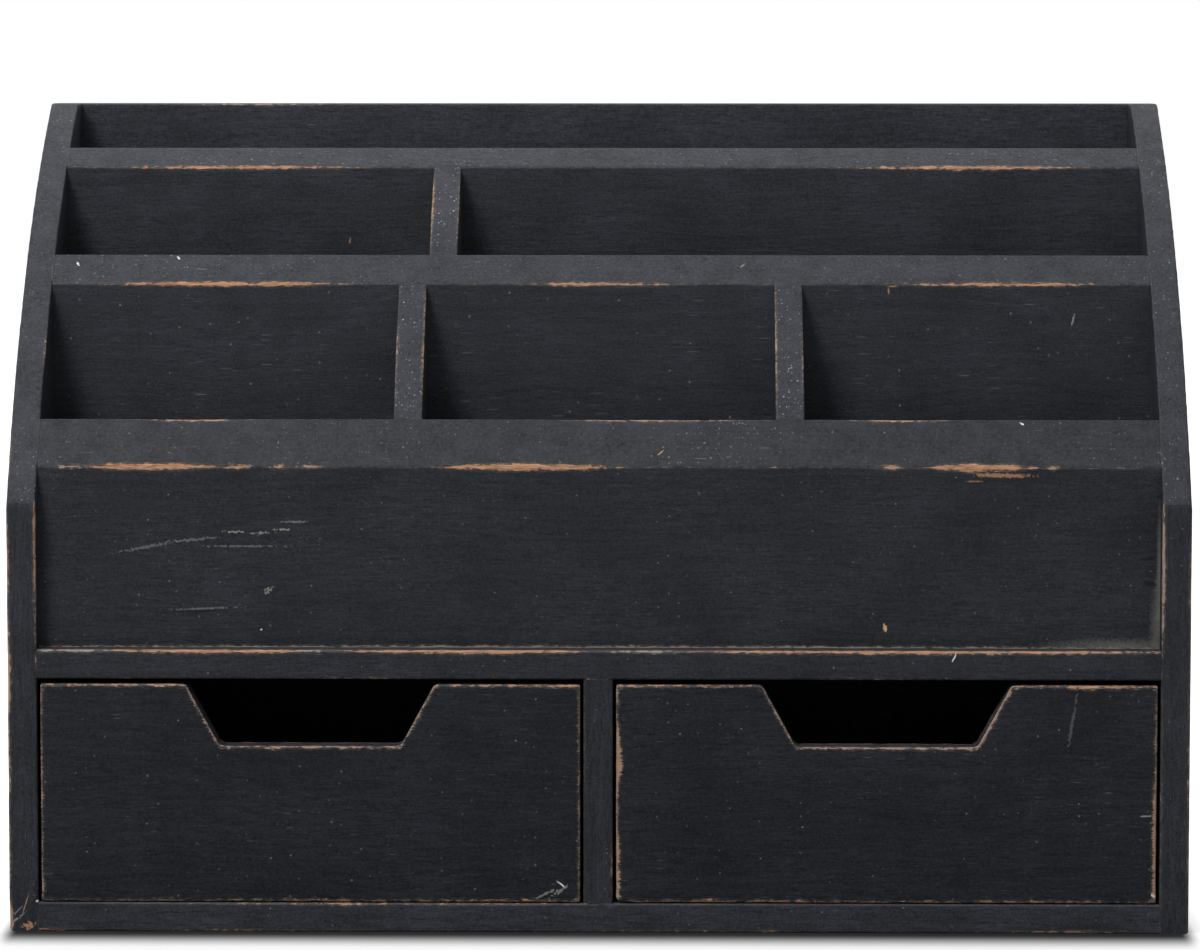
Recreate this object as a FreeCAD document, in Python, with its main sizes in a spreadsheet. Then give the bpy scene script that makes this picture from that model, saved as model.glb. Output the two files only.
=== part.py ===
"""Envelope sorter with two drawers, in millimetres.

+Z is up, +X runs along the width and the front looks towards -Y. The origin is on the floor, under the
middle of the case. Each board is drawn from its own lower left front corner.
"""
import FreeCAD, Part
import os
import re
import Sketcher

# Driving dimensions
SIZES = {
    # case: outside, board stock, and the line of its side panels
    "case_width": 381.0,
    "case_depth": 146.0,
    "case_height": 266.7,
    "board": 9.5,
    "edge_height": 139.0,
    "crest_flat": 19.0,
    "sweep_radius": 314.0,
    "edge_ease": 0.8,
    # case: inside
    "bay_height": 72.7,
    "tier_setback": 6.4,
    "left_pocket_width": 124.0,
    # drawers: boards and how they are put together
    "drawer_front_board": 9.5,
    "drawer_side_board": 8.0,
    "drawer_side_drop": 8.0,
    "rabbet_depth": 5.0,
    "bottom_board": 3.0,
    "bottom_inset": 5.0,
    "groove_depth": 3.0,
    "groove_play": 0.2,
    # drawers: running gaps round them
    "side_gap": 1.0,
    "top_gap": 1.6,
    "floor_gap": 0.3,
    "back_gap": 0.5,
    # finger notch
    "notch_width": 80.3,
    "notch_floor_width": 58.3,
    "notch_drop": 20.1,
    # brads
    "brad_shank": 1.2,
    "brad_head": 2.0,
    "brad_head_height": 0.8,
    "brad_play": 0.1,
    "brad_tip_room": 0.5,
    "case_brad_length": 25.0,
    "drawer_brad_length": 19.0,
}

# Sizes that follow from them
WORKED_OUT = {
    "left_edge": "-case_width / 2",
    "front_edge": "-case_depth / 2",
    "inner_left": "left_edge + board",
    "inner_width": "case_width - 2 * board",
    "inner_depth": "case_depth - board",
    "back_front": "front_edge + inner_depth",
    "shelf_foot": "board + bay_height",
    "shelf_top": "shelf_foot + board",
    "bay_width": "(inner_width - board) / 2",
    # the sweep is an arc from the top of the upright edge to the front of the flat crest
    "sweep_run": "case_depth - crest_flat",
    "sweep_rise": "case_height - edge_height",
    "sweep_chord": "sqrt(sweep_run ^ 2 + sweep_rise ^ 2)",
    "sweep_reach": "sqrt(sweep_radius ^ 2 - (sweep_chord / 2) ^ 2)",
    "sweep_mid_depth": "sweep_run / 2 + sweep_reach * sweep_rise / sweep_chord",
    "sweep_mid_height": "edge_height + sweep_rise / 2 - sweep_reach * sweep_run / sweep_chord",
    # three tier fronts leave three pockets of one depth, the last one before the back panel
    "tier_pitch": "(inner_depth - tier_setback) / 3",
    "lower_depth": "tier_setback",
    "middle_depth": "lower_depth + tier_pitch",
    "upper_depth": "middle_depth + tier_pitch",
    "third_width": "(inner_width - 2 * board) / 3",
    # one drawer
    "drawer_width": "bay_width - 2 * side_gap",
    "drawer_height": "bay_height - floor_gap - top_gap",
    "drawer_length": "inner_depth - back_gap",
    "drawer_foot": "board + floor_gap",
    "drawer_side_height": "drawer_height - drawer_side_drop",
    "drawer_inner_width": "drawer_width - 2 * drawer_side_board",
    "tongue": "drawer_front_board - rabbet_depth",
}

# Where the brads go, as shares of the length or height that they share out
ACROSS_DEPTH_SHARES = (0.15, 0.5, 0.85)
UP_TIER_SHARES = (0.22, 0.75)
UP_BACK_SHARES = (0.14, 0.42, 0.66, 0.9)
UP_BAY_SHARES = (0.25, 0.75)
ALONG_WIDTH_SHARES = (-0.4, -0.15, 0.15, 0.4)
ALONG_DIVIDER_SHARES = (0.3, 0.7)
UP_DRAWER_SHARES = (0.3, 0.75)

# The plane of a body that lies square to each axis, and whether its normal runs along that axis
PLANES = {"X": ("YZ_Plane", True), "Y": ("XZ_Plane", False), "Z": ("XY_Plane", True)}

ORIGIN = ("0", "0", "0")

# The points of a curve in a sketch, in the order of their numbers
CURVE_POINTS = ("whole", "start", "end", "centre")

doc = FreeCAD.newDocument("envelope_sorter")
sheet = doc.addObject("Spreadsheet::Sheet", "Sheet")
bodies = {}
corners = {}


def fill_sheet():
    """Write each size and each formula to a row of its own, with its name beside it."""
    rows = [(name, str(number)) for name, number in SIZES.items()]
    rows += [(name, "=" + formula) for name, formula in WORKED_OUT.items()]
    for row, (name, content) in enumerate(rows, start=1):
        sheet.set("A%d" % row, name)
        sheet.set("B%d" % row, content)
        sheet.setAlias("B%d" % row, name)
    doc.recompute()


def in_sheet(formula):
    """A formula in the sheet's names, as an object outside the sheet writes it."""
    names = "|".join(list(SIZES) + list(WORKED_OUT))
    return re.sub(r"\b(%s)\b" % names, r"Sheet.\1", formula)


def value(formula):
    """What a formula comes to now."""
    return float(sheet.evalExpression(in_sheet(formula)))


def sweep_height(depth):
    """Formula for the height of the sweep, at a depth behind the front of the case."""
    return "(sweep_mid_height + sqrt(sweep_radius ^ 2 - (sweep_mid_depth - (%s)) ^ 2))" % depth


def add_body(label, corner):
    """An empty board, whose lower left front corner stands at the given place."""
    body = doc.addObject("PartDesign::Body", label)
    body.Label = label
    for axis, formula in zip("xyz", corner):
        body.setExpression("Placement.Base." + axis, in_sheet(formula))
    bodies[label] = body
    corners[label] = corner
    return body


def add_sketch(body, name, axis, height="0"):
    """An empty sketch square to an axis of the board, at a height along that axis."""
    role, along = PLANES[axis]
    plane = next(feature for feature in body.Origin.OriginFeatures if feature.Role == role)
    sketch = body.newObject("Sketcher::SketchObject", name)
    sketch.AttachmentSupport = [(plane, "")]
    sketch.MapMode = "FlatFace"
    offset = height if along else "-(%s)" % height
    sketch.setExpression("AttachmentOffset.Base.z", in_sheet(offset))
    return sketch


def tie_point(sketch, curve, point, place):
    """Hold a point of a curve at a place given by two formulas.

    In a sketch, curve -1 is the level axis, which starts at the sketch's origin, and curve -2 the upright one.
    """
    number = CURVE_POINTS.index(point)
    for kind, axis, formula in zip(("DistanceX", "DistanceY"), (-2, -1), place):
        if formula == "0":
            sketch.addConstraint(Sketcher.Constraint("PointOnObject", curve, number, axis))
            continue
        origin = CURVE_POINTS.index("start")
        held = Sketcher.Constraint(kind, -1, origin, curve, number, value(formula))
        index = sketch.addConstraint(held)
        sketch.setExpression("Constraints[%d]" % index, in_sheet(formula))


def join_ends(sketch, curve, following):
    """Hold the end of one curve on the start of another."""
    start = CURVE_POINTS.index("start")
    end = CURVE_POINTS.index("end")
    sketch.addConstraint(Sketcher.Constraint("Coincident", curve, end, following, start))


def tie_radius(sketch, curve, formula):
    """Hold the radius of an arc or a circle."""
    index = sketch.addConstraint(Sketcher.Constraint("Radius", curve, value(formula)))
    sketch.setExpression("Constraints[%d]" % index, in_sheet(formula))


def arc_between(start, finish, radius):
    """The short arc that leaves start anticlockwise and ends at finish."""
    chord = finish - start
    inward = FreeCAD.Vector(-chord.y, chord.x, 0).normalize()
    reach = (radius ** 2 - (chord.Length / 2) ** 2) ** 0.5
    middle = (start + finish) / 2 + inward * reach
    crown = middle - inward * radius
    return Part.Arc(start, crown, finish)


def draw_outline(sketch, places, arc_side=None, arc_radius=None):
    """A closed outline through places given anticlockwise; one of its sides may be an arc."""
    points = [FreeCAD.Vector(value(across), value(up), 0) for across, up in places]
    for side, start in enumerate(points):
        finish = points[(side + 1) % len(points)]
        if side == arc_side:
            sketch.addGeometry(arc_between(start, finish, value(arc_radius)), False)
        else:
            sketch.addGeometry(Part.LineSegment(start, finish), False)
    for side, place in enumerate(places):
        join_ends(sketch, side, (side + 1) % len(places))
    for side, place in enumerate(places):
        tie_point(sketch, side, "start", place)
    if arc_side is not None:
        tie_radius(sketch, arc_side, arc_radius)


def draw_rectangle(sketch, corner, size):
    """A rectangle from its lower left corner and its size."""
    far = ["%s + %s" % pair for pair in zip(corner, size)]
    draw_outline(sketch, [tuple(corner), (far[0], corner[1]), tuple(far), (corner[0], far[1])])


def draw_circles(sketch, centres, diameter):
    """One circle about each of the given places."""
    for index, place in enumerate(centres):
        middle = FreeCAD.Vector(value(place[0]), value(place[1]), 0)
        sketch.addGeometry(Part.Circle(middle, FreeCAD.Vector(0, 0, 1), value(diameter) / 2), False)
        tie_point(sketch, index, "centre", place)
        tie_radius(sketch, index, "%s / 2" % diameter)


def pad(body, name, sketch, axis, length, forward=True):
    """Raise the sketch into a solid, along the axis or against it."""
    feature = body.newObject("PartDesign::Pad", name)
    feature.Profile = sketch
    feature.setExpression("Length", in_sheet(length))
    _, along = PLANES[axis]
    feature.Reversed = along != forward
    body.Tip = feature


def pocket(body, name, sketch, axis, length, forward=True):
    """Cut the sketch out of the solid, along the axis or against it."""
    feature = body.newObject("PartDesign::Pocket", name)
    feature.Profile = sketch
    feature.setExpression("Length", in_sheet(length))
    _, along = PLANES[axis]
    feature.Reversed = along == forward
    body.Tip = feature


def plain_board(label, corner, size):
    """A rectangular board."""
    body = add_body(label, corner)
    sketch = add_sketch(body, label + "_outline", "Z")
    draw_rectangle(sketch, ("0", "0"), size[:2])
    pad(body, label + "_stock", sketch, "Z", size[2])
    return body


def shaped_board(label, corner, axis, places, thickness, arc_side=None, arc_radius=None):
    """A board sawn to an outline that lies square to an axis."""
    body = add_body(label, corner)
    sketch = add_sketch(body, label + "_outline", axis)
    draw_outline(sketch, places, arc_side, arc_radius)
    pad(body, label + "_stock", sketch, axis, thickness)
    return body


def ease_face_edges(body, axis, height):
    """Take the sharp arris off every edge of the board that lies in one plane square to an axis."""
    doc.recompute()
    stock = body.Tip
    level = value(height)
    index = "XYZ".index(axis)
    names = []
    for number, edge in enumerate(stock.Shape.Edges, start=1):
        if all(abs(vertex.Point[index] - level) < vertex.Tolerance for vertex in edge.Vertexes):
            names.append("Edge%d" % number)
    feature = body.newObject("PartDesign::Chamfer", body.Label + "_eased")
    feature.Base = (stock, names)
    feature.setExpression("Size", in_sheet("edge_ease"))
    body.Tip = feature


def local_places(label, axis, places):
    """Places in the sorter's own frame, as the board's sketch sees them."""
    role, _ = PLANES[axis]
    left, foot = (corners[label]["XYZ".index(letter)] for letter in role[:2])
    return [("%s - (%s)" % (across, left), "%s - (%s)" % (up, foot)) for across, up in places]


def bore(label, name, axis, start, forward, places, diameter, depth):
    """Round holes in a board, from a plane of the sorter's frame and square to an axis."""
    body = bodies[label]
    height = "%s - (%s)" % (start, corners[label]["XYZ".index(axis)])
    sketch = add_sketch(body, "%s_%s_marks" % (label, name), axis, height)
    draw_circles(sketch, local_places(label, axis, places), diameter)
    pocket(body, "%s_%s" % (label, name), sketch, axis, depth, forward)


def nail(group, axis, start, forward, carrier, receivers, length):
    """Brads of one group: bored through the carrier, where their heads lie flush, into each receiver."""
    everywhere = [place for places in receivers.values() for place in places]
    name = "%s_%s" % (group, "up" if forward else "down")
    hole = "(brad_shank + brad_play)"
    seat = "(brad_head + brad_play)"
    depth = "%s + brad_tip_room" % length
    bore(carrier, name + "_holes", axis, start, forward, everywhere, hole, depth)
    bore(carrier, name + "_seats", axis, start, forward, everywhere, seat, "brad_head_height")
    for receiver, places in receivers.items():
        bore(receiver, name + "_holes", axis, start, forward, places, hole, depth)
    body = bodies.get(group) or add_body(group, ORIGIN)
    steps = (("heads", "brad_head", "brad_head_height"), ("shanks", "brad_shank", length))
    for part, diameter, tall in steps:
        sketch = add_sketch(body, "%s_%s_outline" % (name, part), axis, start)
        draw_circles(sketch, everywhere, diameter)
        pad(body, "%s_%s" % (name, part), sketch, axis, tall, forward)


def side_panel(label, left):
    """A side of the case: an upright front edge, then the sweep back to a flat crest."""
    places = [("0", "0"), ("case_depth", "0"), ("case_depth", "case_height"),
              ("sweep_run", "case_height"), ("0", "edge_height")]
    return shaped_board(label, (left, "front_edge", "0"), "X", places, "board", 3, "sweep_radius")


def tier_front(label, depth):
    """A tier's front board, whose top edge is sawn to the sweep of the side panels."""
    behind = "%s + board" % depth
    places = [("0", "0"), ("board", "0"), ("board", sweep_height(behind) + " - shelf_top"),
              ("0", sweep_height(depth) + " - shelf_top")]
    shaped_board(label, ("inner_left", "front_edge + " + depth, "shelf_top"), "X", places, "inner_width")


def tier_divider(label, depth, left):
    """A divider between a tier's front board and the next one, with its top edge on the sweep."""
    ahead = "%s + board" % depth
    behind = "%s + tier_pitch" % depth
    places = [("0", "0"), ("tier_pitch - board", "0"),
              ("tier_pitch - board", sweep_height(behind) + " - shelf_top"),
              ("0", sweep_height(ahead) + " - shelf_top")]
    shaped_board(label, (left, "front_edge + " + ahead, "shelf_top"), "X", places, "board", 2, "sweep_radius")


def case():
    """The boards of the case."""
    left = side_panel("left_side_panel", "left_edge")
    ease_face_edges(left, "X", "0")
    right = side_panel("right_side_panel", "inner_left + inner_width")
    ease_face_edges(right, "X", "board")
    plain_board("back_panel", ("inner_left", "back_front", "0"), ("inner_width", "board", "case_height"))
    flat_board = ("inner_width", "inner_depth", "board")
    plain_board("base_board", ("inner_left", "front_edge", "0"), flat_board)
    plain_board("drawer_shelf", ("inner_left", "front_edge", "shelf_foot"), flat_board)
    plain_board("bay_divider", ("-board / 2", "front_edge", "board"), ("board", "inner_depth", "bay_height"))
    for tier in ("lower", "middle", "upper"):
        tier_front(tier + "_front", tier + "_depth")
    tier_divider("lower_divider_left", "lower_depth", "inner_left + third_width")
    tier_divider("lower_divider_right", "lower_depth", "inner_left + 2 * third_width + board")
    tier_divider("middle_divider", "middle_depth", "inner_left + left_pocket_width")


def drawer_front(label, corner):
    """The face of a drawer, with its finger notch, rabbets for the sides and a groove for the bottom."""
    middle = "drawer_width / 2"
    places = [("0", "0"), ("drawer_width", "0"), ("drawer_width", "drawer_height"),
              (middle + " + notch_width / 2", "drawer_height"),
              (middle + " + notch_floor_width / 2", "drawer_height - notch_drop"),
              (middle + " - notch_floor_width / 2", "drawer_height - notch_drop"),
              (middle + " - notch_width / 2", "drawer_height"), ("0", "drawer_height")]
    body = shaped_board(label, corner, "Y", places, "drawer_front_board")
    ease_face_edges(body, "Y", "0")
    for end, left in (("left", "0"), ("right", "drawer_width - drawer_side_board")):
        sketch = add_sketch(body, "%s_%s_rabbet_outline" % (label, end), "Y", "drawer_front_board")
        draw_rectangle(sketch, (left, "0"), ("drawer_side_board", "drawer_side_height"))
        pocket(body, "%s_%s_rabbet" % (label, end), sketch, "Y", "rabbet_depth", forward=False)
    sketch = add_sketch(body, label + "_groove_outline", "Y", "drawer_front_board")
    across = ("drawer_side_board", "bottom_inset")
    draw_rectangle(sketch, across, ("drawer_inner_width", "(bottom_board + groove_play)"))
    pocket(body, label + "_groove", sketch, "Y", "groove_depth", forward=False)


def drawer_side(label, corner, inside):
    """A side of a drawer, lapped into the front, with a groove for the bottom in its inner face."""
    length = "(drawer_length - tongue)"
    body = plain_board(label, corner, ("drawer_side_board", length, "drawer_side_height"))
    inner_face_right = inside == "right"
    height = "drawer_side_board" if inner_face_right else "0"
    sketch = add_sketch(body, label + "_groove_outline", "X", height)
    draw_rectangle(sketch, ("0", "bottom_inset"), (length, "(bottom_board + groove_play)"))
    pocket(body, label + "_groove", sketch, "X", "groove_depth", forward=not inner_face_right)


def drawer_back(label, corner):
    """The back of a drawer, between its sides, with a groove for the bottom."""
    body = plain_board(label, corner, ("drawer_inner_width", "drawer_side_board", "drawer_side_height"))
    sketch = add_sketch(body, label + "_groove_outline", "Y")
    draw_rectangle(sketch, ("0", "bottom_inset"), ("drawer_inner_width", "(bottom_board + groove_play)"))
    pocket(body, label + "_groove", sketch, "Y", "groove_depth", forward=True)


def drawer_bottom(label, left):
    """The thin bottom panel, which lies in the grooves with a little play all round."""
    reach = "(groove_depth - groove_play)"
    corner = ("%s + drawer_side_board - %s" % (left, reach),
              "front_edge + drawer_front_board - %s" % reach, "drawer_foot + bottom_inset")
    width = "(drawer_inner_width + 2 * %s)" % reach
    length = "(drawer_length - drawer_front_board - drawer_side_board + 2 * %s)" % reach
    plain_board(label, corner, (width, length, "bottom_board"))


def drawer(name, left):
    """One drawer with its brads; left is where its left side stands."""
    behind = "front_edge + tongue"
    right = "%s + drawer_width - drawer_side_board" % left
    rear = "front_edge + drawer_length - drawer_side_board"
    drawer_front(name + "_front", (left, "front_edge", "drawer_foot"))
    drawer_side(name + "_left_side", (left, behind, "drawer_foot"), inside="right")
    drawer_side(name + "_right_side", (right, behind, "drawer_foot"), inside="left")
    drawer_back(name + "_back", (left + " + drawer_side_board", rear, "drawer_foot"))
    drawer_bottom(name + "_bottom", left)
    ups = ["drawer_foot + drawer_side_height * %s" % share for share in UP_DRAWER_SHARES]
    at_front = [("front_edge + drawer_front_board - rabbet_depth / 2", up) for up in ups]
    at_back = [(rear + " + drawer_side_board / 2", up) for up in ups]
    ends = {name + "_front": at_front, name + "_back": at_back}
    nail(name + "_brads", "X", left, True, name + "_left_side", ends, "drawer_brad_length")
    far = left + " + drawer_width"
    nail(name + "_brads", "X", far, False, name + "_right_side", ends, "drawer_brad_length")


def side_brad_places():
    """Depth and height of each brad through a side panel, by the board that it enters."""
    deep = ["front_edge + inner_depth * %s" % share for share in ACROSS_DEPTH_SHARES]
    places = {"base_board": [(along, "board / 2") for along in deep],
              "drawer_shelf": [(along, "shelf_foot + board / 2") for along in deep],
              "back_panel": [("back_front + board / 2", "case_height * %s" % up) for up in UP_BACK_SHARES]}
    for tier in ("lower", "middle", "upper"):
        tall = "(%s - shelf_top)" % sweep_height(tier + "_depth")
        along = "front_edge + %s_depth + board / 2" % tier
        places[tier + "_front"] = [(along, "shelf_top + %s * %s" % (tall, up)) for up in UP_TIER_SHARES]
    return places


def shelf_brad_places():
    """Width and depth of each brad up through the shelf, by the board that it enters."""
    places = {}
    for tier in ("lower", "middle", "upper"):
        deep = "front_edge + %s_depth + board / 2" % tier
        places[tier + "_front"] = [("inner_width * %s" % share, deep) for share in ALONG_WIDTH_SHARES]
    for label in ("lower_divider_left", "lower_divider_right", "middle_divider"):
        left, ahead, _ = corners[label]
        places[label] = [("%s + board / 2" % left, "%s + (tier_pitch - board) * %s" % (ahead, share))
                         for share in ALONG_DIVIDER_SHARES]
    return places


def case_brads():
    """The brads that hold the case together."""
    places = side_brad_places()
    nail("left_side_brads", "X", "left_edge", True, "left_side_panel", places, "case_brad_length")
    nail("right_side_brads", "X", "-left_edge", False, "right_side_panel", places, "case_brad_length")
    widths = ["inner_width * %s" % share for share in ALONG_WIDTH_SHARES]
    heights = ["board + bay_height * %s" % share for share in UP_BAY_SHARES]
    through_back = {"base_board": [(width, "board / 2") for width in widths],
                    "drawer_shelf": [(width, "shelf_foot + board / 2") for width in widths],
                    "bay_divider": [("0", height) for height in heights]}
    nail("back_brads", "Y", "-front_edge", False, "back_panel", through_back, "case_brad_length")
    nail("shelf_brads", "Z", "shelf_foot", True, "drawer_shelf", shelf_brad_places(), "case_brad_length")
    pocket_middle = "board + (tier_pitch - board) / 2"
    into_divider = {"bay_divider": [("0", "front_edge + %s_depth + %s" % (tier, pocket_middle))
                                    for tier in ("lower", "middle")]}
    nail("bay_divider_brads", "Z", "0", True, "base_board", into_divider, "case_brad_length")
    nail("bay_divider_brads", "Z", "shelf_top", False, "drawer_shelf", into_divider, "case_brad_length")


def check_model():
    """Stop if any feature failed, any cut missed its board or any sketch is loose."""
    for item in doc.Objects:
        if "Invalid" in item.State or "Error" in item.State:
            raise RuntimeError("%s failed: %s" % (item.Label, item.State))
        if item.TypeId == "Sketcher::SketchObject" and not item.FullyConstrained:
            raise RuntimeError("%s isn't held in full" % item.Label)
        if item.TypeId == "PartDesign::Pocket" and item.Shape.Volume >= item.BaseFeature.Shape.Volume:
            raise RuntimeError("%s cuts nothing" % item.Label)
    for label, body in bodies.items():
        if body.Shape.isNull() or not body.Shape.isValid():
            raise RuntimeError("%s has no sound shape" % label)


def write_parts():
    """Write one file for each piece and print what it holds."""
    os.makedirs("parts", exist_ok=True)
    for label, body in bodies.items():
        body.Shape.exportStep("parts/%s.step" % label)
        box = body.Shape.BoundBox
        extent = "%.2f x %.2f x %.2f" % (box.XLength, box.YLength, box.ZLength)
        count = len(body.Shape.Solids)
        print("%-24s solids %2d  volume %9.1f  %s" % (label, count, body.Shape.Volume, extent))


fill_sheet()
case()
drawer("left_drawer", "inner_left + side_gap")
drawer("right_drawer", "board / 2 + side_gap")
case_brads()
doc.recompute()
check_model()
write_parts()
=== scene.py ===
# %% [markdown]
# # An envelope sorter with two drawers
# The real object is a small desk case of thin pine boards, glued and nailed, brushed with matte blue-black
# paint and then sanded so that the brown wood shows along its edges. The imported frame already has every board
# at its real size and place. This lesson gives each board the eased edges, the dents, the paint and the wear
# that the real one has, and leaves the sizes alone.

import math

import bmesh
import bpy
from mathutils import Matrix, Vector, noise


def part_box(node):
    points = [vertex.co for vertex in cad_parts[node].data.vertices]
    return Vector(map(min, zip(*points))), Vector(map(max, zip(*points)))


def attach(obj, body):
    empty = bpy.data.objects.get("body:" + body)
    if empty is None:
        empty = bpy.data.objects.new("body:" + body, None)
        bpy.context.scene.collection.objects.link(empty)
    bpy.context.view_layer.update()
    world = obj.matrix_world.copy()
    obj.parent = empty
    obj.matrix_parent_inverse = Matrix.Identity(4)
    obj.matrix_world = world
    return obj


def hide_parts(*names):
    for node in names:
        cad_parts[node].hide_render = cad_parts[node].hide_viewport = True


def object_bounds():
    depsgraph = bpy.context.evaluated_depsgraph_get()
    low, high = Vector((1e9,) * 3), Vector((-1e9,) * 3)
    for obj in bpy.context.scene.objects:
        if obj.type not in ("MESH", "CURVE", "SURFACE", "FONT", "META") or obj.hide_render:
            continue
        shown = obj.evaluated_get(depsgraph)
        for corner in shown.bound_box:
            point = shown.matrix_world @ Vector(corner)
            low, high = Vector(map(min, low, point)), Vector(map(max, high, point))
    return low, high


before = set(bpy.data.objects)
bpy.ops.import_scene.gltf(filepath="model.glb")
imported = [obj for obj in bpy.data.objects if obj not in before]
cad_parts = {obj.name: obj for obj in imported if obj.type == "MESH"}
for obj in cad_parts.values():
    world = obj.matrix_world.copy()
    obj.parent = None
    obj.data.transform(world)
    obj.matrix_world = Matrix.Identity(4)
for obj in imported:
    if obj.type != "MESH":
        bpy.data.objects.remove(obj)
cad_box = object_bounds()
MM = 0.001
print("frame box in mm:", [[round(value / MM, 1) for value in corner] for corner in cad_box])

# %% [markdown]
# ## Places that several boards share
# Boards meet edge to edge, so most places are read once from the boards in the frame. Only the line of the
# side panels can't be read from a box. It is an arc from the top of the upright front edge to the front of a
# short flat crest, and its centre follows from its two ends and its radius, as a joiner would find it with a
# string.

# %% Read the places and find the centre of the sweep
EDGE_HEIGHT = 139 * MM
CREST_FLAT = 19 * MM
SWEEP_RADIUS = 314 * MM
TIERS = ("lower", "middle", "upper")

front, back = cad_box[0].y, cad_box[1].y
left_edge, right_edge = cad_box[0].x, cad_box[1].x
top = cad_box[1].z
inner_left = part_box("left_side_panel")[1].x
inner_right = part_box("right_side_panel")[0].x
base_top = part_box("base_board")[1].z
shelf_foot, shelf_top = (corner.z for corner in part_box("drawer_shelf"))
back_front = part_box("back_panel")[0].y
tier_faces = {tier: [corner.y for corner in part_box(tier + "_front")] for tier in TIERS}

sweep_end = back - CREST_FLAT
chord = Vector((sweep_end - front, top - EDGE_HEIGHT))
reach = math.sqrt(SWEEP_RADIUS ** 2 - chord.length_squared / 4)
across = Vector((chord.y, -chord.x)).normalized()
sweep_centre = Vector((front, EDGE_HEIGHT)) + chord / 2 + across * reach


def sweep(y):
    """Height of the side panels' line at a place along the depth."""
    if y >= sweep_end:
        return top
    return sweep_centre.y + math.sqrt(SWEEP_RADIUS ** 2 - (sweep_centre.x - y) ** 2)


print("sweep centre in mm:", [round(value / MM, 2) for value in sweep_centre])
print("tier tops in mm:", {tier: round(sweep(faces[0]) / MM, 1) for tier, faces in tier_faces.items()})

# %% [markdown]
# ## The camera
# The photograph was taken from in front, a little above the case and a little to its right, with a long lens.
# The place and the lens come from fitting about a hundred edges of the case, so this view lays the render over
# the photograph.

# %% Set up the camera
CAMERA_PLACE = Vector((22.366, -1666.756, 273.153)) * MM
CAMERA_LENS = 149.51
PITCH_DOWN = 0.078169
YAW_LEFT = 0.013667
ROLL = 0.000343

bpy.ops.object.select_all(action="DESELECT")
bpy.ops.object.camera_add(location=CAMERA_PLACE, rotation=(math.pi / 2 - PITCH_DOWN, 0, YAW_LEFT))
camera = bpy.context.object
camera.rotation_euler.rotate_axis("Z", ROLL)
camera.data.lens = CAMERA_LENS
camera.data.sensor_width = 36
camera.data.clip_start = 10 * MM
camera.data.clip_end = 30
bpy.context.scene.camera = camera
bpy.context.scene.view_settings.view_transform = "Standard"

# %% [markdown]
# ## Nodes and colours
# Every finish is built from nodes. One small function adds a node and sets its properties. It leaves the
# inputs to a second one, because a new material comes with a shader whose inputs have to be filled too.
# Colours are written as they are picked from a screen and turned into the linear light that Blender works in.

# %% Helpers for nodes and colours


def linear(hex_colour):
    """A colour such as 2B2C30 as linear red, green, blue and alpha."""
    levels = [int(hex_colour[start:start + 2], 16) / 255 for start in (0, 2, 4)]
    return [level / 12.92 if level <= 0.04045 else ((level + 0.055) / 1.055) ** 2.4 for level in levels] + [1.0]


def feed(tree, node, sockets):
    """Fill a node's inputs: each from another node or one of its outputs, a colour as written, or a value."""
    for key, value in sockets.items():
        if isinstance(value, bpy.types.Node):
            value = next(output for output in value.outputs if output.enabled)
        if isinstance(value, bpy.types.NodeSocket):
            tree.links.new(value, node.inputs[key])
        else:
            node.inputs[key].default_value = linear(value) if isinstance(value, str) else value
    return node


def add(tree, kind, sockets=(), **settings):
    """Add a node: settings are its properties, and sockets fill its inputs, by name or in their order."""
    made = tree.nodes.new(kind)
    for name, value in settings.items():
        setattr(made, name, value)
    return feed(tree, made, sockets if isinstance(sockets, dict) else dict(enumerate(sockets)))


# %% [markdown]
# ## Floor and room
# The case stands on white paper in a dim room. The paper gives back less light than it shows, as a small sheet
# in a dark room does, so the black paint stays black. A soft dark strip is painted into the paper where the
# case touches it, in its colour and in its glow: a painted shadow, wide in front and narrow at the other sides.
# Further off the paper is blown out to white. All this is worked out from how far a point of the paper lies
# beyond the foot of the case, measured on each side with a stretch of its own.

# %% Lay the paper
PAPER_SEEN = "8C8C8C"
PAPER_BOUNCE = "868686"
PAINTED_SHADOW = "2A2A2A"
WHITE = "FFFFFF"
PAINTED_SHADOW_FULL = 3 * MM
PAINTED_SHADOW_END = 32 * MM
SIDE_STRETCH, REAR_STRETCH, SHADE_STRETCH = 5.0, 3.0, 0.25
GLOW_NEAR, GLOW_MORE = 0.68, 0.32
GLOW_START, GLOW_FULL, SHINE_FULL = 25 * MM, 60 * MM, 500 * MM

bpy.ops.object.select_all(action="DESELECT")
bpy.ops.mesh.primitive_plane_add(size=12, location=(0, 0, 0))
floor = bpy.context.object
floor.name = "floor"

# uncoated white paper: matte, without shine, darkened by a painted shadow at the foot of the case, and lit so
# brightly further off that no tone is left in it
floor_paper = bpy.data.materials.new("uncoated white paper")
floor_paper.use_nodes = True
floor.data.materials.append(floor_paper)
tree = floor_paper.node_tree

# %% Measure how far the paper lies beyond the case
place = add(tree, "ShaderNodeSeparateXYZ", [add(tree, "ShaderNodeTexCoord").outputs["Object"]]).outputs
aside = add(tree, "ShaderNodeMath", [place["X"]], operation="ABSOLUTE")
aside = add(tree, "ShaderNodeMath", [aside, right_edge - PAINTED_SHADOW_FULL], operation="SUBTRACT")
aside = add(tree, "ShaderNodeMath", [aside, 0.0], operation="MAXIMUM")
aside = add(tree, "ShaderNodeMath", [aside, SIDE_STRETCH], operation="MULTIPLY")
in_front = add(tree, "ShaderNodeMath", [front, place["Y"]], operation="SUBTRACT")
in_front = add(tree, "ShaderNodeMath", [in_front, 0.0], operation="MAXIMUM")
behind_it = add(tree, "ShaderNodeMath", [place["Y"], back], operation="SUBTRACT")
behind_it = add(tree, "ShaderNodeMath", [behind_it, 0.0], operation="MAXIMUM")
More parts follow.
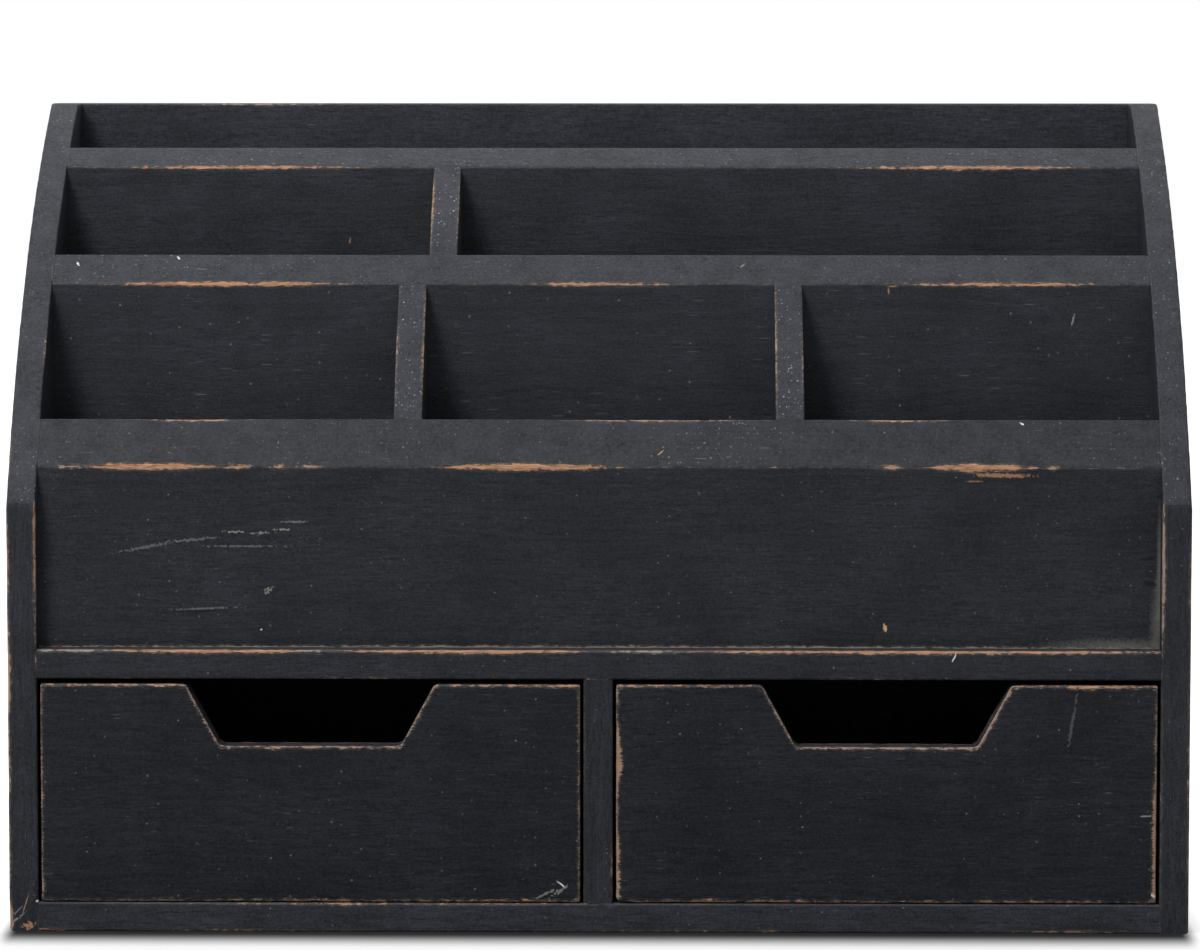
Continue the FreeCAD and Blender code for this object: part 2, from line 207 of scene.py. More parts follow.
behind_it = add(tree, "ShaderNodeMath", [behind_it, REAR_STRETCH], operation="MULTIPLY")
beyond = add(tree, "ShaderNodeCombineXYZ", [aside, in_front, behind_it])
beyond = add(tree, "ShaderNodeVectorMath", [beyond], operation="LENGTH")
# painted shadow: how far the darkening at the foot of the case reaches
painted_shadow_fade = add(tree, "ShaderNodeMapRange", [beyond, PAINTED_SHADOW_FULL, PAINTED_SHADOW_END], interpolation_type="SMOOTHSTEP")
print("contact shadow ends", round(PAINTED_SHADOW_END / MM), "mm in front of the case")

# %% Colour and light the paper
rays = add(tree, "ShaderNodeLightPath").outputs
seen = add(tree, "ShaderNodeMath", [rays["Is Camera Ray"], rays["Is Transmission Ray"]], operation="MAXIMUM")
# painted shadow: the paper's colour darkens towards the foot of the case
paper = add(tree, "ShaderNodeMix", {"Factor": painted_shadow_fade, "A": PAINTED_SHADOW, "B": PAPER_SEEN}, data_type="RGBA")
paper = add(tree, "ShaderNodeMix", {"Factor": seen, "A": PAPER_BOUNCE, "B": paper}, data_type="RGBA")

# the paper in front keeps the shadows of open drawers, so the last of the glow starts later there
past = add(tree, "ShaderNodeMath", [in_front, SHADE_STRETCH], operation="MULTIPLY")
past = add(tree, "ShaderNodeMath", [past, aside], operation="MAXIMUM")
past = add(tree, "ShaderNodeMath", [past, behind_it], operation="MAXIMUM")
more = add(tree, "ShaderNodeMapRange", [past, GLOW_START, GLOW_FULL, 0.0, GLOW_MORE])
# the glow dims with the painted shadow too, so the strip stays dark to the eye
glow = add(tree, "ShaderNodeMath", [painted_shadow_fade, GLOW_NEAR, more], operation="MULTIPLY_ADD")
glow = add(tree, "ShaderNodeMath", [glow, seen], operation="MULTIPLY")
shine = add(tree, "ShaderNodeMapRange", [beyond, GLOW_FULL, SHINE_FULL])
shine = add(tree, "ShaderNodeMath", [shine, rays["Is Glossy Ray"]], operation="MULTIPLY")
glow = add(tree, "ShaderNodeMath", [glow, shine], operation="MAXIMUM")
feed(tree, tree.nodes["Principled BSDF"], {"Base Color": paper, "Roughness": 0.9, "Specular IOR Level": 0.1,
                                           "Emission Color": WHITE, "Emission Strength": glow})
print("paper:", PAPER_SEEN, "to the eye,", PAPER_BOUNCE, "to the case, and", PAINTED_SHADOW, "where they touch")

# %% Build the room
ROOM = "B2B3B5"
MIRROR_START, MIRROR_FULL = 0.3, 0.9

world = bpy.data.worlds.new("studio")
bpy.context.scene.world = world
world.use_nodes = True
tree = world.node_tree
tree.nodes.clear()
direction = add(tree, "ShaderNodeTexCoord").outputs["Generated"]
depth = add(tree, "ShaderNodeSeparateXYZ", [direction]).outputs["Y"]
rays = add(tree, "ShaderNodeLightPath").outputs
mirrored = add(tree, "ShaderNodeMapRange", [depth, MIRROR_START, MIRROR_FULL])
mirrored = add(tree, "ShaderNodeMath", [mirrored, rays["Is Glossy Ray"]], operation="MULTIPLY")
seen = add(tree, "ShaderNodeMath", [rays["Is Camera Ray"], rays["Is Transmission Ray"]], operation="MAXIMUM")
seen = add(tree, "ShaderNodeMath", [seen, mirrored], operation="MAXIMUM")
tint = add(tree, "ShaderNodeMix", {"Factor": seen, "A": ROOM, "B": WHITE}, data_type="RGBA")
background = add(tree, "ShaderNodeBackground", {"Color": tint, "Strength": 1.0})
add(tree, "ShaderNodeOutputWorld", {"Surface": background})
print("the room is white to the eye and", ROOM, "to the case")

# %% [markdown]
# ## The lamps
# Black paint shows little of its own colour: half of what the eye gets is the soft shine of what hangs around
# it. A large lamp above on the left throws the slanting shadows into the pockets. A wider one right above and
# one behind lift the sloping edges of the tiers, which face them. Their strengths were found by lighting the
# case with one lamp at a time and weighing the pictures against the photograph.

# %% Hang the lamps
LAMPS = {
    "key_left": {"place": (-0.95, -1.2, 1.75), "size": (0.7, 0.7), "watts": 38},
    "overhead": {"place": (0.0, 0.0, 1.7), "size": (1.6, 1.0), "watts": 6.5},
    "behind": {"place": (0.0, 0.95, 1.35), "size": (1.4, 0.5), "watts": 6.8},
}
TARGET = Vector((0, 0, 120)) * MM

for name, lamp in LAMPS.items():
    place = Vector(lamp["place"])
    aim = (TARGET - place).to_track_quat("-Z", "Y").to_euler()
    bpy.ops.object.select_all(action="DESELECT")
    bpy.ops.object.light_add(type="AREA", location=place, rotation=aim)
    light = bpy.context.object
    light.name = name
    light.data.shape = "RECTANGLE"
    light.data.size, light.data.size_y = lamp["size"]
    light.data.energy = lamp["watts"]
    print("%-9s %4.1f W, %.2f m away" % (name, lamp["watts"], (TARGET - place).length))

# %% [markdown]
# ## The paint
# The case has one coat of matte emulsion over pine, brushed out thin, so the grain still stands up as fine
# ridges, and dust and small nibs sit in the film. Across the end of a board the cut fibres drink the paint and
# stay rough and speckled. Faces that look up get the same paler, speckled film, partly for dust and partly as
# painted light from above. Along the edges the film has been sanded away. How far it is gone is written on each
# mesh in millimetres: above nought the wood is bare, just below it the film is thin and paler, which also
# paints
# a highlight along each edge, and fine noise frays that line. The finish is built up as the painter built it:
# the board, the film over it, the dust, the sanding.

# %% Helpers for streaks and dots
GRAIN_AXES = {"X": (1, 0, 0), "Y": (0, 1, 0), "Z": (0, 0, 1)}


def streaks(tree, point, grain, length, width, detail=3.0, rough=0.6):
    """Noise drawn out along the grain: length and width of its streaks in millimetres."""
    scale = [1 / length if along else 1 / width for along in GRAIN_AXES[grain]]
    place = add(tree, "ShaderNodeVectorMath", [point, scale], operation="MULTIPLY")
    return add(tree, "ShaderNodeTexNoise",
               {"Vector": place, "Scale": 1.0, "Detail": detail, "Roughness": rough})


def dots(tree, point, spacing, largest):
    """Small round dots scattered about one spacing apart, each with its own size and strength."""
    cell = add(tree, "ShaderNodeTexVoronoi", {"Vector": point, "Scale": 1 / spacing}).outputs
    chance = add(tree, "ShaderNodeSeparateColor", [cell["Color"]]).outputs
    inside = add(tree, "ShaderNodeMath", [chance["Green"], largest / spacing], operation="MULTIPLY")
    inside = add(tree, "ShaderNodeMath", [inside, cell["Distance"]], operation="SUBTRACT")
    inside = add(tree, "ShaderNodeMapRange", [inside, 0.0, 0.1 / spacing])
    strength = add(tree, "ShaderNodeMath", [chance["Red"], 2.5], operation="POWER")
    return add(tree, "ShaderNodeMath", [inside, strength], operation="MULTIPLY")


# %% Helpers for the board and the film over it
WANDER_SIZE, WANDER_REACH = 60.0, (9.0, 9.0, 9.0)
CLOUD_SIZE = 24.0
PORE_SIZE, PORE_PATCH = 1.0, 7.0
# the tooth of real emulsion is finer than this, but wouldn't show in the picture
TOOTH_SIZE = 0.8


def board_patterns(tree, point, grain):
    """What lies under and in the film: wandering fibres, marks of the brush, clouds and a fine tooth."""
    wander = add(tree, "ShaderNodeTexNoise", {"Vector": point, "Scale": 1 / WANDER_SIZE, "Detail": 1.0})
    wandered = add(tree, "ShaderNodeVectorMath", [wander.outputs["Color"], WANDER_REACH, point],
                   operation="MULTIPLY_ADD")
    cloud = add(tree, "ShaderNodeTexNoise", {"Vector": point, "Scale": 1 / CLOUD_SIZE, "Detail": 4.0})
    return {"fibre": streaks(tree, wandered, grain, 45.0, 1.6),
            "brush": streaks(tree, point, grain, 4.5, 0.4, rough=0.7),
            "cloud": cloud,
            "loose": add(tree, "ShaderNodeMapRange", [cloud, 0.42, 0.62]),
            "tooth": add(tree, "ShaderNodeTexNoise", {"Vector": point, "Scale": 1 / TOOTH_SIZE})}


def brushed_film(tree, board, deep, light):
    """The colour of the film, paler where it lies thick on a fibre or in a brush mark."""
    thick = add(tree, "ShaderNodeMath", [board["cloud"], 0.6], operation="MULTIPLY")
    thick = add(tree, "ShaderNodeMath", [board["fibre"], 0.5, thick], operation="MULTIPLY_ADD")
    thick = add(tree, "ShaderNodeMath", [board["tooth"], 0.9, thick], operation="MULTIPLY_ADD")
    furrow = add(tree, "ShaderNodeMath", [board["brush"], 0.5], operation="SUBTRACT")
    press = add(tree, "ShaderNodeMath", [board["loose"], 0.9, 0.7], operation="MULTIPLY_ADD")
    thick = add(tree, "ShaderNodeMath", [furrow, press, thick], operation="MULTIPLY_ADD")
    thick = add(tree, "ShaderNodeMapRange", [thick, 0.72, 1.28])
    return add(tree, "ShaderNodeMix", {"Factor": thick, "A": deep, "B": light}, data_type="RGBA")


def rough_ends(tree, point, grain):
    """Where the fibres end or a face looks up: the share of the paler rough film, and the open pores in it."""
    normal = add(tree, "ShaderNodeNewGeometry").outputs["True Normal"]
    up = add(tree, "ShaderNodeSeparateXYZ", [normal]).outputs["Z"]
    facing = add(tree, "ShaderNodeVectorMath", [normal, GRAIN_AXES[grain]], operation="DOT_PRODUCT")
    facing = add(tree, "ShaderNodeMath", [facing], operation="ABSOLUTE")
    # faces that look up take the paler rough film too: partly dust, partly painted light from above
    rough = add(tree, "ShaderNodeMath", [facing, up], operation="MAXIMUM")
    rough = add(tree, "ShaderNodeMapRange", [rough, 0.25, 0.45])
    patches = add(tree, "ShaderNodeTexNoise", {"Vector": point, "Scale": 1 / PORE_PATCH, "Detail": 3.0})
    pores = add(tree, "ShaderNodeTexNoise",
                {"Vector": point, "Scale": 1 / PORE_SIZE, "Detail": 3.0, "Roughness": 0.7})
    pores = add(tree, "ShaderNodeMath", [patches, 0.6, pores], operation="MULTIPLY_ADD")
    pores = add(tree, "ShaderNodeMapRange", [pores, 0.6, 1.02])
    return rough, add(tree, "ShaderNodeMath", [pores, rough], operation="MULTIPLY")


# %% Helpers for dust and for the sanded edges
WOOD_PALE = "BA8C6C"
WOOD_DARK = "7F5C45"
WOOD_DULL = "8A8179"
# thin paint over wood along the edges, which also serves as a painted highlight on them
THIN_PAINT_AND_HIGHLIGHT = "625A54"
DUST = "8C8F94"
STREAK = "55575C"
CHIP_SIZE = 1.8


def dusted(tree, point, grain, film, rough, loose, specks):
    """The film with its nibs, dashes along the grain, and flecks on the rough faces, thick in some places."""
    dash = [0.1 if along else 1.0 for along in GRAIN_AXES[grain]]
    dash = add(tree, "ShaderNodeVectorMath", [point, dash], operation="MULTIPLY")
    dash = add(tree, "ShaderNodeMath", [dots(tree, dash, 1.1, 0.28), loose], operation="MULTIPLY")
    film = add(tree, "ShaderNodeMix", {"Factor": dash, "A": film, "B": STREAK}, data_type="RGBA")
    nibs = add(tree, "ShaderNodeMath", [dots(tree, point, 3.3, 0.45), 0.4], operation="MULTIPLY")
    flecks = add(tree, "ShaderNodeMath", [rough, specks, 0.1], operation="MULTIPLY_ADD")
    patches = add(tree, "ShaderNodeMath", [loose, 0.8, 0.2], operation="MULTIPLY_ADD")
    flecks = add(tree, "ShaderNodeMath", [flecks, patches], operation="MULTIPLY")
    flecks = add(tree, "ShaderNodeMath", [flecks, dots(tree, point, 0.95, 0.42)], operation="MULTIPLY")
    dust = add(tree, "ShaderNodeMath", [nibs, flecks], operation="MAXIMUM")
    return add(tree, "ShaderNodeMix", {"Factor": dust, "A": film, "B": DUST}, data_type="RGBA")


def sanded(tree, point, grain, film, brush, fray):
    """The film broken open along the edges, and how far the wood lies open, frayed along the fibres."""
    worn = add(tree, "ShaderNodeAttribute", attribute_name="worn").outputs["Fac"]
    bare = add(tree, "ShaderNodeAttribute", attribute_name="bare").outputs["Fac"]
    chips = add(tree, "ShaderNodeTexNoise", {"Vector": point, "Scale": 1 / CHIP_SIZE, "Detail": 1.0})
    chips = add(tree, "ShaderNodeMath", [chips, 0.5], operation="SUBTRACT")
    torn = streaks(tree, point, grain, 3.2, 0.45, detail=4.0, rough=0.7)
    torn = add(tree, "ShaderNodeMath", [chips, 0.4, torn], operation="MULTIPLY_ADD")
    torn = add(tree, "ShaderNodeMath", [torn, 0.5], operation="SUBTRACT")
    gone = add(tree, "ShaderNodeMath", [torn, fray, worn], operation="MULTIPLY_ADD")
    # painted highlight: the paler thin film lies along each listed edge even where it isn't worn, so it also
    # stands for light on the arris
    thin = add(tree, "ShaderNodeMapRange", [gone, -0.8, 0.0, 0.0, 0.45])
    film = add(tree, "ShaderNodeMix", {"Factor": thin, "A": film, "B": THIN_PAINT_AND_HIGHLIGHT}, data_type="RGBA")
    wood = add(tree, "ShaderNodeMapRange", [brush, 0.35, 0.62])
    wood = add(tree, "ShaderNodeMix", {"Factor": wood, "A": WOOD_DARK, "B": WOOD_PALE}, data_type="RGBA")
    wood = add(tree, "ShaderNodeMix", {"Factor": bare, "A": WOOD_DULL, "B": wood}, data_type="RGBA")
    open_wood = add(tree, "ShaderNodeMapRange", [gone, -0.06, 0.1])
    return add(tree, "ShaderNodeMix", {"Factor": open_wood, "A": film, "B": wood}, data_type="RGBA"), open_wood


# %% Helper that lays one mark over the paint
HAZE_RAG = 0.6


def marked(tree, point, tooth, colour, mark):
    """The colour with a mark on a face that looks forward. Its edge is ragged, or without rag a soft haze."""
    place = add(tree, "ShaderNodeVectorMath", [point, mark["at"]], operation="SUBTRACT")
    place = add(tree, "ShaderNodeVectorRotate", {"Vector": place, "Angle": math.radians(mark["angle"])},
                rotation_type="Y_AXIS")
    stretch = (2 / mark["length"], 0.5, 2 / mark["width"])
    place = add(tree, "ShaderNodeVectorMath", [place, stretch], operation="MULTIPLY")
    away = add(tree, "ShaderNodeVectorMath", [place], operation="LENGTH")
    ragged = add(tree, "ShaderNodeMath", [0.5, tooth], operation="SUBTRACT")
    away = add(tree, "ShaderNodeMath", [ragged, mark["rag"] or HAZE_RAG, away], operation="MULTIPLY_ADD")
    full = 0.6 if mark["rag"] else 0.0
    shown = add(tree, "ShaderNodeMapRange", [away, 1.0, full, 0.0, mark["strength"]])
    return add(tree, "ShaderNodeMix", {"Factor": shown, "A": colour, "B": mark["colour"]}, data_type="RGBA")


# %% Mix the paint
FILM_ROUGHNESS = 0.62
FILM_SHINE = 0.18
RELIEF = {"fibre": 0.12, "brush": 0.06, "tooth": 0.05}
PORE_RELIEF, WOOD_RELIEF = 0.09, -0.1


def black_paint(name, grain, tones, specks, fray, painted_light_lift, marks):
    """Brushed matte paint over a board whose grain runs along one axis; lengths inside are millimetres."""
    material = bpy.data.materials.new(name)
    material.use_nodes = True
    tree = material.node_tree
    # painted light and shade: the lift makes the whole film darker or paler for the light the board gets
    deep, light, rough_and_lit_top = ([level * painted_light_lift for level in linear(tone)[:3]] + [1.0] for tone in tones)
    place = add(tree, "ShaderNodeTexCoord").outputs["Object"]
    point = add(tree, "ShaderNodeVectorMath", {0: place, "Scale": 1 / MM}, operation="SCALE")

    board = board_patterns(tree, point, grain)
    rough, pores = rough_ends(tree, point, grain)
    film = brushed_film(tree, board, deep, light)
    # the paler tone on rough ends and on faces that look up, where it is partly painted light from above
    film = add(tree, "ShaderNodeMix", {"Factor": pores, "A": film, "B": rough_and_lit_top}, data_type="RGBA")
    film = dusted(tree, point, grain, film, rough, board["loose"], specks)
    colour, open_wood = sanded(tree, point, grain, film, board["brush"], fray)
    for one in marks:
        colour = marked(tree, point, board["tooth"], colour, one)

    # relief in millimetres: the pores stand up in it, the open wood lies deeper, and the patterns ripple it
    relief = add(tree, "ShaderNodeMath", [pores, PORE_RELIEF], operation="MULTIPLY")
    relief = add(tree, "ShaderNodeMath", [open_wood, WOOD_RELIEF, relief], operation="MULTIPLY_ADD")
    for pattern, height in RELIEF.items():
        relief = add(tree, "ShaderNodeMath", [board[pattern], height, relief], operation="MULTIPLY_ADD")
    bump = add(tree, "ShaderNodeBump", {"Height": relief, "Distance": MM, "Strength": 0.8})
    feed(tree, tree.nodes["Principled BSDF"], {"Base Color": colour, "Normal": bump,
                                               "Roughness": FILM_ROUGHNESS, "Specular IOR Level": FILM_SHINE})
    return material


# %% [markdown]
# ## Knocks and scratches
# Apart from its edges the case has a few marks of its own: chips through to the wood, pale scratches, and lines
# where the grain has opened. They are what makes it one certain case, so each is listed with its place, its
# size and its turn, and only the boards that have some get a paint of their own.

# %% List the marks of the case
TAN, WHEAT, PALE, WHITISH = "9A765A", "C9A27C", "8B8A84", "D2D0CC"
ASH, GREY, DARK = "77797D", "6C6E72", "0E0F12"


def mark(x, y, z, length, width, angle=0.0, strength=1.0, colour=GREY, rag=1.6):
    """One mark, with its middle and its size in millimetres and its turn in degrees."""
    return {"at": (x, y, z), "length": length, "width": width, "angle": angle, "strength": strength, "rag": rag,
            "colour": colour}


FACE = front / MM
LOWER, MIDDLE, UPPER = (tier_faces[tier][0] / MM for tier in TIERS)
MARKS = {
    "lower_front": [
        # two chips through to the wood, on the face and on the slope, and a pale nick
        mark(92.5, LOWER, 98.4, 3.2, 1.5, -75, colour=WHEAT),
        mark(20.1, -63.9, 154.9, 3.6, 0.6, 40, colour=TAN),
        mark(136.8, -58.15, 163.9, 1.6, 0.6, -30, colour=WHITISH),
        # splinters that have come away under the worn edge
        mark(130, LOWER, 147.8, 22, 1.6, -1, 0.9, TAN, 1.8),
        mark(121, LOWER, 145.9, 6, 0.6, 0, 0.6, TAN),
        # scratches on the left, where the grain has opened
        mark(-118, LOWER, 129.3, 6, 0.8, 0, 0.8, PALE, 4),
        mark(-109, LOWER, 128.9, 6, 0.8, 2, 0.7, PALE, 4),
        mark(-102, LOWER, 130.0, 5, 0.7, 0, 0.8, PALE, 4),
        mark(-98, LOWER, 132.5, 8, 0.8, 0, 0.5, PALE, 3),
        mark(-146, LOWER, 124.3, 20, 1.0, 10, 0.5, ASH, 3),
        mark(-131, LOWER, 126.7, 18, 1.0, 5, 0.5, ASH, 3),
        mark(-114, LOWER, 124.6, 26, 0.7, 0, 0.5, ASH, 3),
        mark(-127, LOWER, 103.5, 20, 0.9, 2, 0.8, DARK, 3),
        mark(-127, LOWER, 104.4, 22, 0.7, 2, 0.5, ASH, 3),
        mark(-106.5, LOWER, 110.4, 3.4, 1.6, 30, 0.7, PALE, 4),
        mark(-109, LOWER, 97.6, 0.9, 0.7, colour=WHITISH),
        # a pale haze in the right corner, and two dark spots of thick paint beside it
        mark(168, LOWER, 92.6, 60, 6, 0, 0.42, PALE, 0),
        mark(180.4, LOWER, 101, 40, 6, 88, 0.42, PALE, 0),
        mark(180.6, LOWER, 119, 46, 2.0, 90, 0.4, PALE, 0),
        mark(177.0, LOWER, 121, 6.0, 1.4, 10, 0.9, DARK),
        mark(177.4, LOWER, 113, 5.0, 2.0, -10, 0.9, DARK)],
    "middle_front": [
        mark(95.0, MIDDLE, 205.4, 2.8, 0.7, -88, 0.9, TAN),
        mark(96.6, MIDDLE, 206.9, 3.6, 0.6, 0, 0.9, TAN),
        mark(155.8, MIDDLE, 195.9, 5.0, 0.8, 77, 0.8, PALE),
        mark(-173.2, -17.2, 213.8, 1.7, 0.8, -50, colour=WHITISH),
        mark(-140.0, -15.2, 215.8, 1.5, 0.6, -40, colour=WHITISH),
        mark(47, -17.5, 213.5, 3.4, 0.5, 35, 0.7, PALE)],
    "upper_front": [mark(-85.4, UPPER, 220.7, 2.2, 0.8, 80, 0.6, TAN)],
    "drawer_shelf": [mark(114.5, FACE, 89.6, 3.6, 0.5, 65, colour=WHITISH)],
}

# %% List the marks of the left foot and the drawers
MARKS["left_side_panel"] = [
    mark(-184.0, FACE, 1.9, 4.2, 2.2, 10, 1.0, TAN, 4),
    mark(-187.6, FACE, 6.8, 4.8, 0.6, 45, 0.8),
    mark(-186.7, FACE, 4.9, 4.6, 0.6, 45, 0.8),
    mark(-188.6, FACE, 3.6, 3.6, 0.8, 40, 0.7, PALE),
    mark(-185.3, FACE, 8.6, 7.0, 0.5, 72, 0.8, TAN),
    mark(-181.4, FACE, 9.8, 1.6, 0.9, 20, colour=WHITISH)]
MARKS["left_drawer_front"] = [
    mark(-11.8, FACE, 15.6, 3.8, 0.6, -38, colour=WHITISH),
    mark(-17.5, FACE, 12.3, 8, 0.8, 25, 0.6, PALE, 4),
    mark(-12.2, FACE, 13.6, 7, 1.2, 35, 0.6, PALE, 4)]
MARKS["right_drawer_front"] = [
    mark(152.6, FACE, 69.0, 20, 1.0, 81, 0.3, ASH, 3),
    mark(176.5, FACE, 38.3, 4.4, 0.6, 2, 0.9, PALE),
    mark(179.0, FACE, 12.4, 2.0, 1.0, -40, colour=WHITISH)]
print("marks:", {node: len(marks) for node, marks in MARKS.items()})

# %% [markdown]
# ## The finishes
# The same paint looks a little different from board to board. The case is blue-black, the drawer fronts have a
# darker second coat, and the drawer boxes only a thin, browner one. Each finish gives the run of the grain, the
# three tones of its film (in the hollows, on the ridges, on rough ends and on faces that look up), how thick
# the dust lies on rough ends, and how far the sanded edge is frayed, in millimetres. The lowest front is
# painted darker and the back and the base paler than the rest, as painted shade and painted light for how much
# light reaches them.

# %% List the finishes
CASE_TONES = ("191B1F", "313339", "3B3D42")
DRAWER_TONES = ("0E0F13", "25272D", "424348")
BOX_TONES = ("19191D", "2D2D32", "38383C")
FINISHES = {
    # matte emulsion brushed over pine: even and dark, with fine streaks from side to side
    "case_lengthwise": ("matte paint on pine, grain across the case", "X", CASE_TONES, 0.35, 2.6),
    # the same with upright streaks, and a pale gritty look on the sawn ends
    "case_upright": ("matte paint on pine, grain upright", "Z", CASE_TONES, 0.5, 2.6),
    # the same again, with the most flecks on its sawn top
    "case_divider": ("matte paint on pine, speckled", "Z", CASE_TONES, 1.0, 2.6),
    # two coats brushed over pine: deeper, smoother, with ragged sanded edges
    "drawer_face": ("matte paint on a drawer front", "X", DRAWER_TONES, 0.4, 3.6),
    # one thin coat over pine: greyer, with the wood's warmth in it
    "box_deep": ("thin paint on a drawer side", "Y", BOX_TONES, 0.3, 2.4),
    "box_across": ("thin paint on a drawer back", "X", BOX_TONES, 0.3, 2.4),
    # one thin coat over pressed hardboard: the flattest face of all
    "hardboard": ("thin paint on hardboard", "Y", BOX_TONES, 0.3, 2.4),
}
# painted light and shade: these boards are painted darker or paler all over for how much light reaches them
PAINTED_LIGHT_LIFTS = {"lower_front": 0.84, "back_panel": 1.25, "base_board": 1.25}
finishes = {}


def finish_for(finish, node):
    """The material for a board: shared, unless the board has marks or is painted darker or paler for its light.
    """
    own = node if node in MARKS or node in PAINTED_LIGHT_LIFTS else ""
    if (finish, own) not in finishes:
        name, grain, tones, specks, fray = FINISHES[finish]
        name += ", " + own.replace("_", " ") if own else ""
        finishes[finish, own] = black_paint(name, grain, tones, specks, fray, PAINTED_LIGHT_LIFTS.get(node, 1.0),
                                            MARKS.get(node, ()))
    return finishes[finish, own]


print("finishes:", ", ".join(FINISHES))

# %% [markdown]
# ## From a cube to a board
# A board starts as a cube at the size and place that the frame gives. Modelling it by hand would go: cut it
# where other boards meet it, round the edges that a hand can reach, then cut it finely so that the wear can
# follow the edges. Edges that lie flush against another board stay square, or a groove would show in a face
# that is really filled and painted over. Edges are picked by place, which a change of size doesn't upset.

# %% Helpers that start and cut a board
AXES = {"x": Vector((1, 0, 0)), "y": Vector((0, 1, 0)), "z": Vector((0, 0, 1))}
RIM = 2.2 * MM
ROUNDING = 1e-6


def start_board(name, low, high):
    """A cube primitive as large as the board, left in edit mode."""
    bpy.ops.object.select_all(action="DESELECT")
    bpy.ops.mesh.primitive_cube_add(size=1, location=(low + high) / 2, scale=high - low)
    piece = bpy.context.object
    piece.name = name
    bpy.ops.object.transform_apply(location=True, rotation=True, scale=True)
    bpy.ops.object.mode_set(mode="EDIT")
    return piece


def cut(piece, axis, places):
    """Cut right through the mesh at each place along an axis."""
    for place in places:
        bpy.ops.mesh.select_all(action="SELECT")
        bpy.ops.mesh.bisect(plane_co=AXES[axis] * place, plane_no=AXES[axis])


def spaced(low, high, step):
    """Places between low and high, no further apart than step, with one close to each end for the wear."""
    if high - low < 3 * RIM:
        return [(low + high) / 2]
    count = math.ceil((high - low - 2 * RIM) / step - ROUNDING)
    return [low + RIM + (high - low - 2 * RIM) * number / count for number in range(count + 1)]


# %% Helpers that pick and ease edges
HAIR = 0.02 * MM
EASE = 0.8 * MM
ANY = (-math.inf, math.inf)
CORNER = math.radians(25)


def lies_in(point, x=ANY, y=ANY, z=ANY):
    """Whether a point lies between the given limits; a single number is a plane."""
    for value, limits in zip(point, (x, y, z)):
        low, high = limits if isinstance(limits, tuple) else (limits, limits)
        if not low - HAIR <= value <= high + HAIR:
            return False
    return True


def pick(piece, kind, *regions, sharp=False):
    """Select the vertices, edges or faces that lie wholly in one of the regions; sharp keeps true corners."""
    bpy.ops.mesh.select_mode(type=kind)
    bpy.ops.mesh.select_all(action="DESELECT")
    mesh = bmesh.from_edit_mesh(piece.data)
    items = {"VERT": mesh.verts, "EDGE": mesh.edges, "FACE": mesh.faces}[kind]
    count = 0
    for item in items:
        points = [item.co] if kind == "VERT" else [vertex.co for vertex in item.verts]
        if sharp and item.calc_face_angle(0) < CORNER:
            continue
        if any(all(lies_in(point, **region) for point in points) for region in regions):
            item.select = True
            count += 1
    mesh.select_flush_mode()
    bmesh.update_edit_mesh(piece.data)
    return count


def ease(piece, *regions, width=EASE, segments=4):
    """Round the sharp edges that lie in the regions."""
    count = pick(piece, "EDGE", *regions, sharp=True)
    bpy.ops.mesh.bevel(offset=width, segments=segments, profile=0.5, affect="EDGES")
    return count


# %% [markdown]
# ## Wear along the edges
# Sanding cuts through the film where a block or a hand runs along an edge, so the wear is given as it is seen:
# for each edge, stretches from one place to another, how wide the bare wood is at the middle of the stretch,
# and how clean it is rubbed. Every vertex then learns how far it lies inside or outside the worn stretches.
# Each edge also has a little chance wear from a smooth noise, so no edge is perfect.

# %% Helpers that describe an edge and its wear
CHANCE_LENGTH, CHANCE_DEPTH, CHANCE_CLEAN = 14 * MM, 0.4, 0.2
UNEVEN_LENGTH, UNEVEN_SHARE, UNEVEN_STEP = 7 * MM, 0.4, 0.15


def edge(axis, span=ANY, places=None, **at):
    """A straight edge: the axis it runs along, where it lies on the other two, and its worn stretches in mm."""
    return {"axis": axis, "at": at, "span": span, "places": places or []}


def sweep_edge(x, span, places=None):
    """An edge of the side panels' arc, or of a board cut to it; places are given along the depth in mm."""
    return {"axis": "y", "at": {"x": x}, "span": span, "places": places or [], "arc": True}


def worn_stretches(line, along, seed, idle):
    """How wide the bare wood is at a place along an edge, in mm, and how clean it is rubbed."""
    chance = noise.noise(Vector((along / CHANCE_LENGTH, seed, 0.5)))
    best = (idle + CHANCE_DEPTH * chance, CHANCE_CLEAN)
    for begin, finish, width, clean in line["places"]:
        share = abs(2 * along / MM - begin - finish) / (finish - begin)
        if share < 1.3:
            taper = (1 - share ** 2) if share < 1 else 1.5 * (1 - share)
            uneven = noise.noise(Vector((along / UNEVEN_LENGTH, seed, 7.5)))
            best = max(best, (width * (taper * (1 + UNEVEN_SHARE * uneven) + UNEVEN_STEP * uneven), clean))
    return best


def wear_at(line, point, seed, idle):
    """How far inside the worn wood a point lies, in mm, and how clean that wood is."""
    if "from" in line:
        run = line["to"] - line["from"]
        share = (point - line["from"]).dot(run) / run.length_squared
        if not -0.05 <= share <= 1.05:
            return None
        width, clean = worn_stretches(line, share * run.length, seed, idle)
        return width - (point - line["from"] - run * share).length / MM, clean
    along = point["xyz".index(line["axis"])]
    if not line["span"][0] - MM <= along <= line["span"][1] + MM:
        return None
    if line.get("arc"):
        radial = Vector((point.y, point.z)) - sweep_centre
        distance = math.hypot(point.x - line["at"]["x"], radial.length - SWEEP_RADIUS)
    else:
        distance = math.hypot(*(point["xyz".index(axis)] - value for axis, value in line["at"].items()))
    width, clean = worn_stretches(line, along, seed, idle)
    return width - distance / MM, clean


